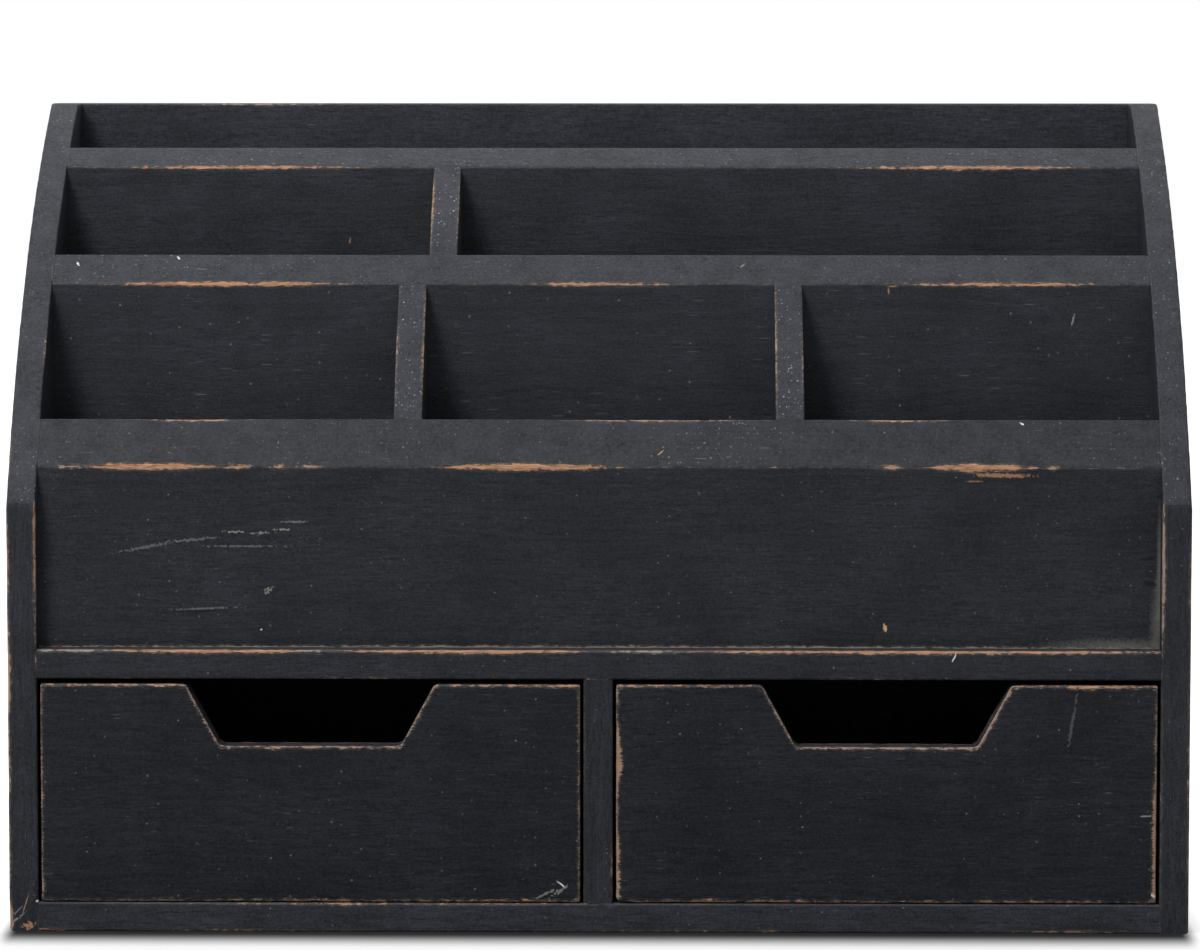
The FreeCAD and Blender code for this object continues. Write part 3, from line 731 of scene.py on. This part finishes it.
# %% Helpers that wear, dent and finish a board
IDLE = -0.3
UNWORN = -20.0
SWEEP_SKIN = 1.2 * MM
SWEEP_SOFTNESS = 0.8
DENT_SIZE = 3 * MM
DENT_DEPTH = 0.35 * MM


def dent(piece, depths, swept):
    """Dent the worn edges a little, and the sawn sweep as well."""
    soft = piece.vertex_groups.new(name="soft")
    for vertex, gone in zip(piece.data.vertices, depths):
        weight = min(1.0, gone + 0.5)
        radius = math.hypot(vertex.co.y - sweep_centre.x, vertex.co.z - sweep_centre.y)
        if swept and abs(radius - SWEEP_RADIUS) < SWEEP_SKIN:
            weight = max(weight, SWEEP_SOFTNESS)
        if weight > 0:
            soft.add([vertex.index], weight, "REPLACE")
    clouds = bpy.data.textures.get("dents") or bpy.data.textures.new("dents", "CLOUDS")
    clouds.noise_scale = DENT_SIZE
    dents = piece.modifiers.new("dents", "DISPLACE")
    dents.texture = clouds
    dents.texture_coords = "LOCAL"
    dents.vertex_group = soft.name
    dents.mid_level = 0.0
    dents.strength = -DENT_DEPTH
    bpy.context.view_layer.objects.active = piece
    bpy.ops.object.modifier_apply(modifier="dents")


def wear(piece, lines):
    """Write on each vertex how far the film is gone and how clean the wood is, then dent the worn edges."""
    bpy.ops.object.mode_set(mode="OBJECT")
    mesh = piece.data
    seeds = [noise.noise(Vector((len(piece.name), number * 3.7, 2.5))) * 50 for number in range(len(lines))]
    depths, cleanness = [], []
    for vertex in mesh.vertices:
        found = [wear_at(line, vertex.co, seed, IDLE) for line, seed in zip(lines, seeds)]
        gone, clean = max([value for value in found if value] or [(UNWORN, 0.0)])
        depths.append(gone)
        cleanness.append(clean)
    for name, values in (("worn", depths), ("bare", cleanness)):
        mesh.attributes.new(name, "FLOAT", "POINT")
        mesh.attributes[name].data.foreach_set("value", values)
    dent(piece, depths, any(line.get("arc") for line in lines))


def finish_board(piece, body, node, finish):
    """Shade the mesh, give it its finish and put it in the frame in place of its node."""
    bpy.ops.object.select_all(action="DESELECT")
    piece.select_set(True)
    bpy.context.view_layer.objects.active = piece
    bpy.ops.object.shade_smooth_by_angle(angle=math.radians(32))
    level = piece.modifiers.new("flat faces", "WEIGHTED_NORMAL")
    level.keep_sharp = True
    bpy.ops.object.modifier_apply(modifier="flat faces")
    piece.data.materials.append(finish_for(finish, node))
    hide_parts(node)
    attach(piece, body)
    print("%-26s %6d faces" % (piece.name, len(piece.data.polygons)))


# %% [markdown]
# ## Seats for the nails
# The frame has the real nails, with their heads flush in the boards. Each head needs its seat, or board and
# nail would share one face. The heads are found from the nails themselves: each loose shell in the node is one
# nail, and its widest end is the head. A cylinder at each head, taken away with a boolean, leaves the seat.

# %% Find the nails' heads
HEAD_SHARE = 0.9


def extent(points):
    """The lowest and the highest corner of some points."""
    return [Vector(end(point[axis] for point in points) for axis in range(3)) for end in (min, max)]


def loose_shells(node):
    """The points of each separate shell in a node of the frame."""
    mesh = bmesh.new()
    mesh.from_mesh(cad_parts[node].data)
    bmesh.ops.remove_doubles(mesh, verts=mesh.verts, dist=0.001 * MM)
    todo = set(mesh.verts)
    while todo:
        shell, grow = [], [todo.pop()]
        while grow:
            vertex = grow.pop()
            shell.append(vertex.co.copy())
            fresh = {spoke.other_vert(vertex) for spoke in vertex.link_edges} & todo
            todo -= fresh
            grow.extend(fresh)
        yield shell
    mesh.free()


def nail_heads(node):
    """Centre, axis and outward direction of each nail's head in a node, and the head's radius."""
    heads = []
    for shell in loose_shells(node):
        low, high = extent(shell)
        size = high - low
        index = max(range(3), key=lambda axis: size[axis])
        radius = min(size[axis] for axis in range(3) if axis != index) / 2
        at_low = [point for point in shell if point[index] < low[index] + HAIR]
        middle = sum(at_low, Vector()) / len(at_low)
        outward = -1 if max((point - middle).length for point in at_low) > radius * HEAD_SHARE else 1
        centre = (low + high) / 2
        centre[index] = low[index] if outward < 0 else high[index]
        heads.append((centre, "xyz"[index], outward, radius))
    return heads


print("nails:", {node: len(nail_heads(node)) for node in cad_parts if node.endswith("brads")})

# %% Helpers for nail seats and other cuts
SEAT_PLAY = 0.05 * MM
SEAT_DEPTH = 0.8 * MM
OVERRUN = 1 * MM
TURNS = {"x": (0, math.pi / 2, 0), "y": (math.pi / 2, 0, 0), "z": (0, 0, 0)}


def take_away(piece, cutter):
    """Cut one mesh out of another and throw the cutter away."""
    bpy.ops.object.select_all(action="DESELECT")
    piece.select_set(True)
    bpy.context.view_layer.objects.active = piece
    cutting = piece.modifiers.new("cut", "BOOLEAN")
    cutting.operation = "DIFFERENCE"
    cutting.solver = "EXACT"
    cutting.object = cutter
    bpy.ops.object.modifier_apply(modifier="cut")
    bpy.data.objects.remove(cutter)


def box_cut(piece, low, high):
    """Take a square housing out of a board; the mesh is left in edit mode."""
    bpy.ops.object.mode_set(mode="OBJECT")
    cutter = start_board("cutter", low, high)
    bpy.ops.object.mode_set(mode="OBJECT")
    take_away(piece, cutter)
    bpy.ops.object.mode_set(mode="EDIT")


def seat_nails(piece, *nodes):
    """Bore a seat in the board for each nail head that lies in one of its faces."""
    bpy.ops.object.mode_set(mode="OBJECT")
    low, high = extent([Vector(corner) for corner in piece.bound_box])
    cutters = []
    for node in nodes:
        for centre, axis, outward, radius in nail_heads(node):
            if not lies_in(centre, *zip(low, high)):
                continue
            middle = centre + AXES[axis] * outward * (OVERRUN - SEAT_DEPTH) / 2
            bpy.ops.object.select_all(action="DESELECT")
            bpy.ops.mesh.primitive_cylinder_add(vertices=20, radius=radius + SEAT_PLAY, rotation=TURNS[axis],
                                                depth=SEAT_DEPTH + OVERRUN, location=middle)
            cutters.append(bpy.context.object)
    for cutter in cutters:
        cutter.select_set(True)
    bpy.ops.object.join()
    take_away(piece, bpy.context.object)
    bpy.ops.object.mode_set(mode="EDIT")
    return len(cutters)


# %% [markdown]
# ## The side panels
# Each side is sawn from one board with upright grain, so its swept edge shows the rough ends of the fibres. The
# cube is cut into narrow upright columns, and the top of each column is let down to the sweep. The outer edges
# are eased all round. The inner edge is eased only where it stands clear: along the drawers, beside the lowest
# front, and in each pocket.

# %% Shape the side panels
COLUMN = 3 * MM
ROW = 4 * MM
SLIVER = 0.5 * MM


def side_panel(node, inner, outer, lines):
    """One swept side of the case."""
    low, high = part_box(node)
    piece = start_board("painted_" + node, low, high)
    stops = [face for faces in tier_faces.values() for face in faces] + [back_front, sweep_end]
    columns = [y for y in spaced(front, back, COLUMN / 2) if min(abs(y - stop) for stop in stops) > SLIVER]
    columns = sorted(stops + columns)
    cut(piece, "y", columns)
    for y in [front] + columns:
        pick(piece, "VERT", {"y": y, "z": top})
        bpy.ops.transform.translate(value=(0, 0, sweep(y) - top))
    cut(piece, "z", [base_top, shelf_foot, shelf_top])
    above = (EDGE_HEIGHT, top)
    clear = [{"y": front, "z": (base_top, shelf_foot)}, {"y": front, "z": (shelf_top, EDGE_HEIGHT)},
             {"y": (front, tier_faces["lower"][0]), "z": above},
             {"y": (tier_faces["lower"][1], tier_faces["middle"][0]), "z": above},
             {"y": (tier_faces["middle"][1], tier_faces["upper"][0]), "z": above},
             {"y": (tier_faces["upper"][1], back_front), "z": above}]
    eased = ease(piece, {"x": outer}, *({"x": inner, **span} for span in clear))
    seats = seat_nails(piece, node.replace("_panel", "_brads"))
    cut(piece, "z", spaced(0, top, ROW))
    cut(piece, "x", spaced(low.x, high.x, COLUMN))
    wear(piece, lines)
    finish_board(piece, "case", node, "case_upright")
    print("  nail seats: %d, eased edges: %d" % (seats, eased))


def side_lines(inner, outer, upright_inner, upright_outer, swept_inner, swept_outer):
    """The edges of one side panel, with the worn stretches of the four that show in front."""
    return [edge("z", (0, EDGE_HEIGHT), upright_inner, x=inner, y=front),
            edge("z", (0, EDGE_HEIGHT), upright_outer, x=outer, y=front),
            edge("z", (0, top), [(20, 60, 0.5, 0.4), (150, 190, 0.6, 0.4)], x=outer, y=back),
            edge("y", (front, back), [(-60, -20, 0.5, 0.4)], x=outer, z=0),
            edge("y", (sweep_end, back), [(60, 70, 0.5, 0.4)], x=outer, z=top),
            sweep_edge(inner, (front, sweep_end), swept_inner),
            sweep_edge(outer, (front, sweep_end), swept_outer)]


side_panel("left_side_panel", inner_left, left_edge, side_lines(
    inner_left, left_edge, [(88, 150, 0.65, 0.6)],
    [(96, 142, 0.5, 0.4), (62, 107, 0.8, 0.6), (36, 72, 0.65, 0.5), (10, 40, 0.5, 0.4), (-4, 12, 1.0, 0.6)],
    [(-46, -35, 0.4, 0.2)], [(-70, -60, 0.3, 0.3)]))
side_panel("right_side_panel", inner_right, right_edge, side_lines(
    inner_right, right_edge, [(88, 152, 0.75, 0.3), (20, 60, 0.2, 0.2)],
    [(90, 130, 0.45, 0.45), (5, 95, 0.45, 0.45)], [], []))

# %% [markdown]
# ## Back, base, shelf and the divider between the drawers
# These four are plain boards between the sides. Only the edges that stand clear are eased. The front edge of
# the shelf is the one that hands brush most, so its upper edge has the longest worn stretches.

# %% Helper for a plain board
ACROSS_SHARE = 2.5


def plain_board(node, finish, clear, lines, cuts=(), brads=()):
    """A straight board: cut where others meet it, eased where it is clear, cut finely, worn and painted."""
    low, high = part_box(node)
    piece = start_board("painted_" + node, low, high)
    for axis, places in cuts:
        cut(piece, axis, places)
    if clear:
        ease(piece, *clear)
    if brads:
        seat_nails(piece, *brads)
    longest = max(range(3), key=lambda i: high[i] - low[i])
    for index in range(3):
        fine = COLUMN if index == longest else ACROSS_SHARE * COLUMN
        cut(piece, "xyz"[index], spaced(low[index], high[index], fine))
    wear(piece, lines)
    finish_board(piece, "case", node, finish)


# %% Shape the plain boards of the case
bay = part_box("bay_divider")
bay_left, bay_right = bay[0].x, bay[1].x
across_case = (inner_left, inner_right)

plain_board("back_panel", "case_lengthwise", [{"y": back_front, "z": top}, {"y": back, "z": 0}], [
    edge("x", across_case, [(-145, -90, 0.4, 0.3)], y=back_front, z=top),
    edge("x", across_case, [(20, 90, 0.4, 0.3)], y=back, z=0)], brads=["back_brads"])
plain_board("base_board", "case_lengthwise",
            [{"y": front, "z": base_top, "x": (inner_left, bay_left)},
             {"y": front, "z": base_top, "x": (bay_right, inner_right)}, {"y": front, "z": 0}],
            [edge("x", across_case, [(-129, -86, 0.3, 0.4), (-111, -64, 0.45, 0.6), (-66, -6, 0.4, 0.6)],
                  y=front, z=base_top),
             edge("x", across_case, [(-187, -166, 0.6, 0.7), (-145, -87, 0.4, 0.5), (0, 52, 0.3, 0.4),
                                     (52, 59, 0.8, 0.7), (121, 178, 0.5, 0.6)], y=front, z=0)],
            cuts=[("x", [bay_left, bay_right])], brads=["bay_divider_brads"])
plain_board("drawer_shelf", "case_lengthwise",
            [{"y": front, "z": shelf_top}, {"y": front, "z": shelf_foot, "x": (inner_left, bay_left)},
             {"y": front, "z": shelf_foot, "x": (bay_right, inner_right)}],
            [edge("x", across_case, [(-190, -146, 0.6, 0.1), (-164, -90, 1.1, 0.9), (-100, -84, 0.5, 0.15),
                                     (-86, 4, 0.95, 0.85), (-8, 36, 0.6, 0.2), (14, 200, 0.95, 0.9)],
                  y=front, z=shelf_top),
             edge("x", across_case, [(-93, -57, 0.3, 0.3), (74, 98, 0.3, 0.3)], y=front, z=shelf_foot)],
            cuts=[("x", [bay_left, bay_right])], brads=["shelf_brads", "bay_divider_brads"])
plain_board("bay_divider", "case_upright", [{"y": front, "x": bay_left}, {"y": front, "x": bay_right}],
            [edge("z", (base_top, shelf_foot), [(60, 66, 0.3, 0.2)], x=bay_left, y=front),
             edge("z", (base_top, shelf_foot), [(12, 30, 0.3, 0.2)], x=bay_right, y=front)])

# %% [markdown]
# ## The tier fronts
# A tier front is a board on edge whose top is planed to the slope of the sides. The front edge of that slope is
# rubbed by all that is put in and taken out, and there the paint has gone in long lens-shaped stretches.

# %% Shape the tier fronts
DIVIDERS = {"lower": ("lower_divider_left", "lower_divider_right"), "middle": ("middle_divider",), "upper": ()}
# for each tier: the front edge of its slope, the foot of its face, and the rear edge of its slope
TIER_WEAR = {
    "lower": ([(-168, -119, 1.05, 1.0), (-121, -112, 0.6, 0.8), (-107, -99, 0.6, 0.8), (-97, -89, 0.5, 0.5),
               (-52, 7, 1.1, 1.0), (90, 98, 0.6, 0.7), (105, 142, 1.1, 1.0), (143, 149, 0.5, 0.5),
               (-176, -166, 0.5, 0.2)],
              [(-250, 250, 0.5, 0.0)],
              [(-152, -110, 0.9, 0.6), (-22, 58, 0.9, 0.6), (80, 115, 0.9, 0.6)]),
    "middle": ([(-162, -86, 0.85, 1.0), (-22, 25, 0.6, 0.8), (102, 163, 0.7, 0.95)], [], []),
    "upper": ([(-162, -84, 0.75, 1.0), (85, 164, 0.7, 0.9)], [], []),
}


def tier_front(tier):
    """One stepped front of the case."""
    node = tier + "_front"
    low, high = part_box(node)
    slope_foot = sweep(low.y)
    piece = start_board("painted_" + node, low, high)
    pick(piece, "VERT", {"y": low.y, "z": high.z})
    bpy.ops.transform.translate(value=(0, 0, slope_foot - high.z))
    meets = sorted(corner.x for divider in DIVIDERS[tier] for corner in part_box(divider))
    cut(piece, "x", meets)
    ends = [low.x] + meets + [high.x]
    open_rear = [{"y": high.y, "z": high.z, "x": span} for span in zip(ends[::2], ends[1::2])]
    ease(piece, {"y": low.y, "z": slope_foot}, *open_rear)
    cut(piece, "x", spaced(low.x, high.x, COLUMN))
    cut(piece, "z", spaced(low.z, high.z, 2 * ROW))
    cut(piece, "y", spaced(low.y, high.y, ROW))
    slope_wear, foot_wear, rear_wear = TIER_WEAR[tier]
    wear(piece, [edge("x", (low.x, high.x), slope_wear, y=low.y, z=slope_foot),
                 edge("x", (low.x, high.x), foot_wear, y=low.y, z=low.z)]
         + [edge("x", span["x"], rear_wear, y=high.y, z=high.z) for span in open_rear])
    finish_board(piece, "case", node, "case_lengthwise")


for tier in TIERS:
    tier_front(tier)

# %% [markdown]
# ## The dividers
# The dividers of the pockets have their tops cut to the same arc as the sides. Their grain stands upright, so
# those tops are rough ends again, with paler flecks than any other place on the case.

# %% Shape the dividers
DIVIDER_WEAR = {
    "lower_divider_left": ([(-54, -34, 0.5, 0.6)], [(-56, -20, 0.55, 0.6)]),
    "lower_divider_right": ([(-58, -20, 0.5, 0.5)], [(-54, -34, 0.45, 0.3)]),
    "middle_divider": ([(-14, 20, 0.6, 0.6)], [(-12, 18, 0.4, 0.4)]),
}


def tier_divider(node):
    """One divider of a tier."""
    low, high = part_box(node)
    piece = start_board("painted_" + node, low, high)
    columns = spaced(low.y, high.y, COLUMN)
    cut(piece, "y", columns)
    for y in [low.y] + columns + [high.y]:
        pick(piece, "VERT", {"y": y, "z": high.z})
        bpy.ops.transform.translate(value=(0, 0, sweep(y) - high.z))
    over = (sweep(low.y), high.z)
    ease(piece, {"x": low.x, "z": over}, {"x": high.x, "z": over})
    cut(piece, "z", spaced(low.z, high.z, 2 * ROW))
    cut(piece, "x", spaced(low.x, high.x, ROW))
    left_wear, right_wear = DIVIDER_WEAR[node]
    depth = (low.y, high.y)
    wear(piece, [sweep_edge(low.x, depth, left_wear), sweep_edge(high.x, depth, right_wear)])
    finish_board(piece, "case", node, "case_divider")


for node in DIVIDER_WEAR:
    tier_divider(node)

# %% [markdown]
# ## The drawer fronts
# A drawer front is a board with a finger notch in its upper edge. By hand the notch is easiest from the side:
# start with the stretch up to the notch, extrude the end face to the right and let its upper edge down, extrude
# along the notch's floor, extrude and lift the edge again, and extrude to the far end. The corners of the notch
# and of the board are rounded a little before the edges are eased. At the back, each end has a housing for the
# drawer's side.

# %% List the sizes and the wear of the drawer fronts
NOTCH_WIDTH = 80.3 * MM
NOTCH_FLOOR = 58.3 * MM
NOTCH_DROP = 20.1 * MM
NOTCH_TOP_ROUND = 1.2 * MM
NOTCH_FOOT_ROUND = 1.6 * MM
FRONT_EASE = 0.7 * MM
HOUSING = 5 * MM
# stretches along the four edges of the face, the widths of the wear on the two slants of the notch, and how far
# the lower left corner is worn round
DRAWER_WEAR = {
    "left": {"top": [(-190, -119, 0.5, 0.9), (-64, 5, 0.5, 0.85), (-22, 0, 0.7, 0.95)],
             "foot": [(-190, -90, 0.35, 0.6), (-140, -56, 0.5, 0.8), (-74, 4, 0.55, 0.85)],
             "left": [(-4, 92, 0.35, 0.6), (2, 26, 0.5, 0.6), (64, 88, 0.4, 0.7)],
             "right": [(16, 84, 0.3, 0.6), (58, 90, 0.45, 0.7), (4, 36, 0.4, 0.7)],
             "slants": (0.4, 0.5), "foot_corner": 0},
    "right": {"top": [(-4, 50, 0.6, 0.9), (34, 60, 0.35, 0.7), (124, 192, 0.8, 1.0)],
              "foot": [(-4, 104, 0.6, 0.85), (80, 192, 0.55, 0.85)],
              "left": [(0, 38, 1.4, 0.6), (28, 52, 0.5, 0.4), (44, 71, 1.45, 0.6), (64, 90, 0.4, 0.3)],
              "right": [(2, 59, 1.4, 0.65), (46, 88, 0.5, 0.45)],
              "slants": (0.5, 0.9), "foot_corner": 2.0},
}
notch_middles = {}
for side in DRAWER_WEAR:
    low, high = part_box(side + "_drawer_front")
    notch_middles[side] = (low.x + high.x) / 2
print("notch middles in mm:", {side: round(middle / MM, 2) for side, middle in notch_middles.items()})

# %% Shape the drawer fronts


def notched_board(name, low, high, notch, floor_height):
    """The board with its notch, extruded from left to right."""
    piece = start_board(name, low, Vector((notch[0], high.y, high.z)))
    heights = [high.z, floor_height, floor_height, high.z, high.z]
    for number, x in enumerate(notch[1:] + [high.x]):
        pick(piece, "FACE", {"x": notch[number]})
        bpy.ops.mesh.extrude_region_move(TRANSFORM_OT_translate={"value": (x - notch[number], 0, 0)})
        pick(piece, "VERT", {"x": x, "z": heights[number]})
        bpy.ops.transform.translate(value=(0, 0, heights[number + 1] - heights[number]))
    return piece


def notch_edges(side, notch, floor_height, height, faces):
    """The edges of the notch: both of its floor, and two slants, each a straight line between two points."""
    lines = [edge("x", (notch[1], notch[2]), [(notch[1] / MM - more, notch[2] / MM + more, width, clean)],
                  y=y, z=floor_height)
             for y, more, width, clean in ((faces[0], 12, 0.6, 0.55), (faces[1], 30, 0.8, 0.2))]
    for top_x, floor_x, width in zip((notch[0], notch[3]), (notch[1], notch[2]), DRAWER_WEAR[side]["slants"]):
        for y, share in ((faces[0], 1.0), (faces[1], 0.5)):
            lines.append({"from": Vector((top_x, y, height)), "to": Vector((floor_x, y, floor_height)),
                          "places": [(-12, 36, width * share, 0.4 * share)]})
    return lines


def drawer_front(side):
    """One drawer front with its notch, its rounded corners and a housing for each side of the drawer."""
    node = side + "_drawer_front"
    low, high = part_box(node)
    faces = (low.y, high.y)
    marks = DRAWER_WEAR[side]
    notch = [notch_middles[side] + offset
             for offset in (-NOTCH_WIDTH / 2, -NOTCH_FLOOR / 2, NOTCH_FLOOR / 2, NOTCH_WIDTH / 2)]
    floor_height = high.z - NOTCH_DROP
    piece = notched_board("painted_" + node, low, high, notch, floor_height)
    for x in (notch[0], notch[3]):
        ease(piece, {"x": x, "z": high.z, "y": faces}, width=NOTCH_TOP_ROUND)
    for x in (notch[1], notch[2]):
        ease(piece, {"x": x, "z": floor_height, "y": faces}, width=NOTCH_FOOT_ROUND)
    if marks["foot_corner"]:
        ease(piece, {"x": low.x, "z": low.z, "y": faces}, width=marks["foot_corner"] * MM)

    side_low, side_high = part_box(side + "_drawer_left_side")
    free = side_high.z + OVERRUN
    housings = ((low.x - OVERRUN, side_high.x), (high.x - (side_high.x - side_low.x), high.x + OVERRUN))
    for begin, finish in housings:
        box_cut(piece, Vector((begin, high.y - HOUSING, low.z - OVERRUN)),
                Vector((finish, high.y + OVERRUN, side_high.z)))
    cut(piece, "z", [free])
    corners = [{"x": x, "z": z, "y": faces} for x in (low.x, high.x) for z in (low.z, high.z)]
    ease(piece, {"y": low.y}, {"y": high.y, "z": (free, high.z)}, *corners, width=FRONT_EASE)
    for axis, step in (("x", COLUMN), ("y", ROW), ("z", COLUMN)):
        index = "xyz".index(axis)
        cut(piece, axis, spaced(low[index], high[index], step))

    wear(piece, [edge("x", (low.x, notch[0]), marks["top"], y=low.y, z=high.z),
                 edge("x", (notch[3], high.x), marks["top"], y=low.y, z=high.z),
                 edge("x", (low.x, high.x), marks["foot"], y=low.y, z=low.z),
                 edge("z", (low.z, high.z), marks["left"], x=low.x, y=low.y),
                 edge("z", (low.z, high.z), marks["right"], x=high.x, y=low.y)]
         + notch_edges(side, notch, floor_height, high.z, faces))
    finish_board(piece, side + "_drawer", node, "drawer_face")


for side in DRAWER_WEAR:
    drawer_front(side)

# %% [markdown]
# ## The drawer boxes
# Behind each front are two sides, a back and a thin bottom that lies in grooves. They are thinly painted and
# only show when the drawer is out. The grooves are cut as a joiner would, with a square cutter, because the
# bottom has to go into something.

# %% Shape the drawer boxes
BOX_EASE = 0.6 * MM
GROOVE_PLAY = 0.2 * MM


def box_board(side, part):
    """A side or the back of one drawer, with the groove for the bottom, and on a side its seats for the nails.
    """
    name = side + "_drawer_" + part
    low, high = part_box(name)
    bottom_low, bottom_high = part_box(side + "_drawer_bottom")
    piece = start_board("painted_" + name, low, high)
    ease(piece, {"z": high.z}, width=BOX_EASE)
    box_cut(piece, bottom_low - Vector((GROOVE_PLAY, OVERRUN, 0)), bottom_high + Vector([GROOVE_PLAY] * 3))
    if part == "back":
        long_axis, short_axis, finish = "x", "y", "box_across"
        lines = [edge("x", (low.x, high.x), y=y, z=high.z) for y in (low.y, high.y)]
    else:
        seat_nails(piece, side + "_drawer_brads")
        long_axis, short_axis, finish = "y", "x", "box_deep"
        lines = [edge("y", (low.y, high.y), [(-30, 10, 0.5, 0.4)], x=x, z=high.z) for x in (low.x, high.x)]
    for axis, step in ((long_axis, COLUMN), ("z", 2 * ROW), (short_axis, ROW)):
        index = "xyz".index(axis)
        cut(piece, axis, spaced(low[index], high[index], step))
    wear(piece, lines)
    finish_board(piece, side + "_drawer", name, finish)


def drawer_bottom(side):
    """The thin bottom of one drawer."""
    name = side + "_drawer_bottom"
    low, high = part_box(name)
    piece = start_board("painted_" + name, low, high)
    cut(piece, "x", spaced(low.x, high.x, 2 * ROW))
    cut(piece, "y", spaced(low.y, high.y, 2 * ROW))
    wear(piece, [])
    finish_board(piece, side + "_drawer", name, "hardboard")


for side in DRAWER_WEAR:
    for part in ("left_side", "right_side", "back"):
        box_board(side, part)
    drawer_bottom(side)

# %% [markdown]
# ## The nails
# The nails of the frame are already right: thin steel brads with small heads. The paint has gone over the
# heads, with a little bright steel where it has chipped.

# %% Paint the nails
STEEL = "8E8C88"
BRIGHT_SIZE = 0.9 * MM

# drawn steel wire under the case's own paint: dull black heads with small bright chips
brad_paint = bpy.data.materials.new("black paint over a steel brad")
brad_paint.use_nodes = True
tree = brad_paint.node_tree
place = add(tree, "ShaderNodeTexCoord").outputs["Object"]
bright = add(tree, "ShaderNodeTexNoise", {"Vector": place, "Scale": 1 / BRIGHT_SIZE, "Detail": 3.0})
bright = add(tree, "ShaderNodeMapRange", [bright, 0.6, 0.64])
chipped = add(tree, "ShaderNodeMix", {"Factor": bright, "A": CASE_TONES[1], "B": STEEL}, data_type="RGBA")
feed(tree, tree.nodes["Principled BSDF"], {"Base Color": chipped, "Metallic": bright, "Roughness": 0.5})

brads = [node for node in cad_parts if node.endswith("brads")]
for node in brads:
    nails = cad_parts[node].data
    nails.materials.clear()
    nails.materials.append(brad_paint)
print("painted:", ", ".join(brads))
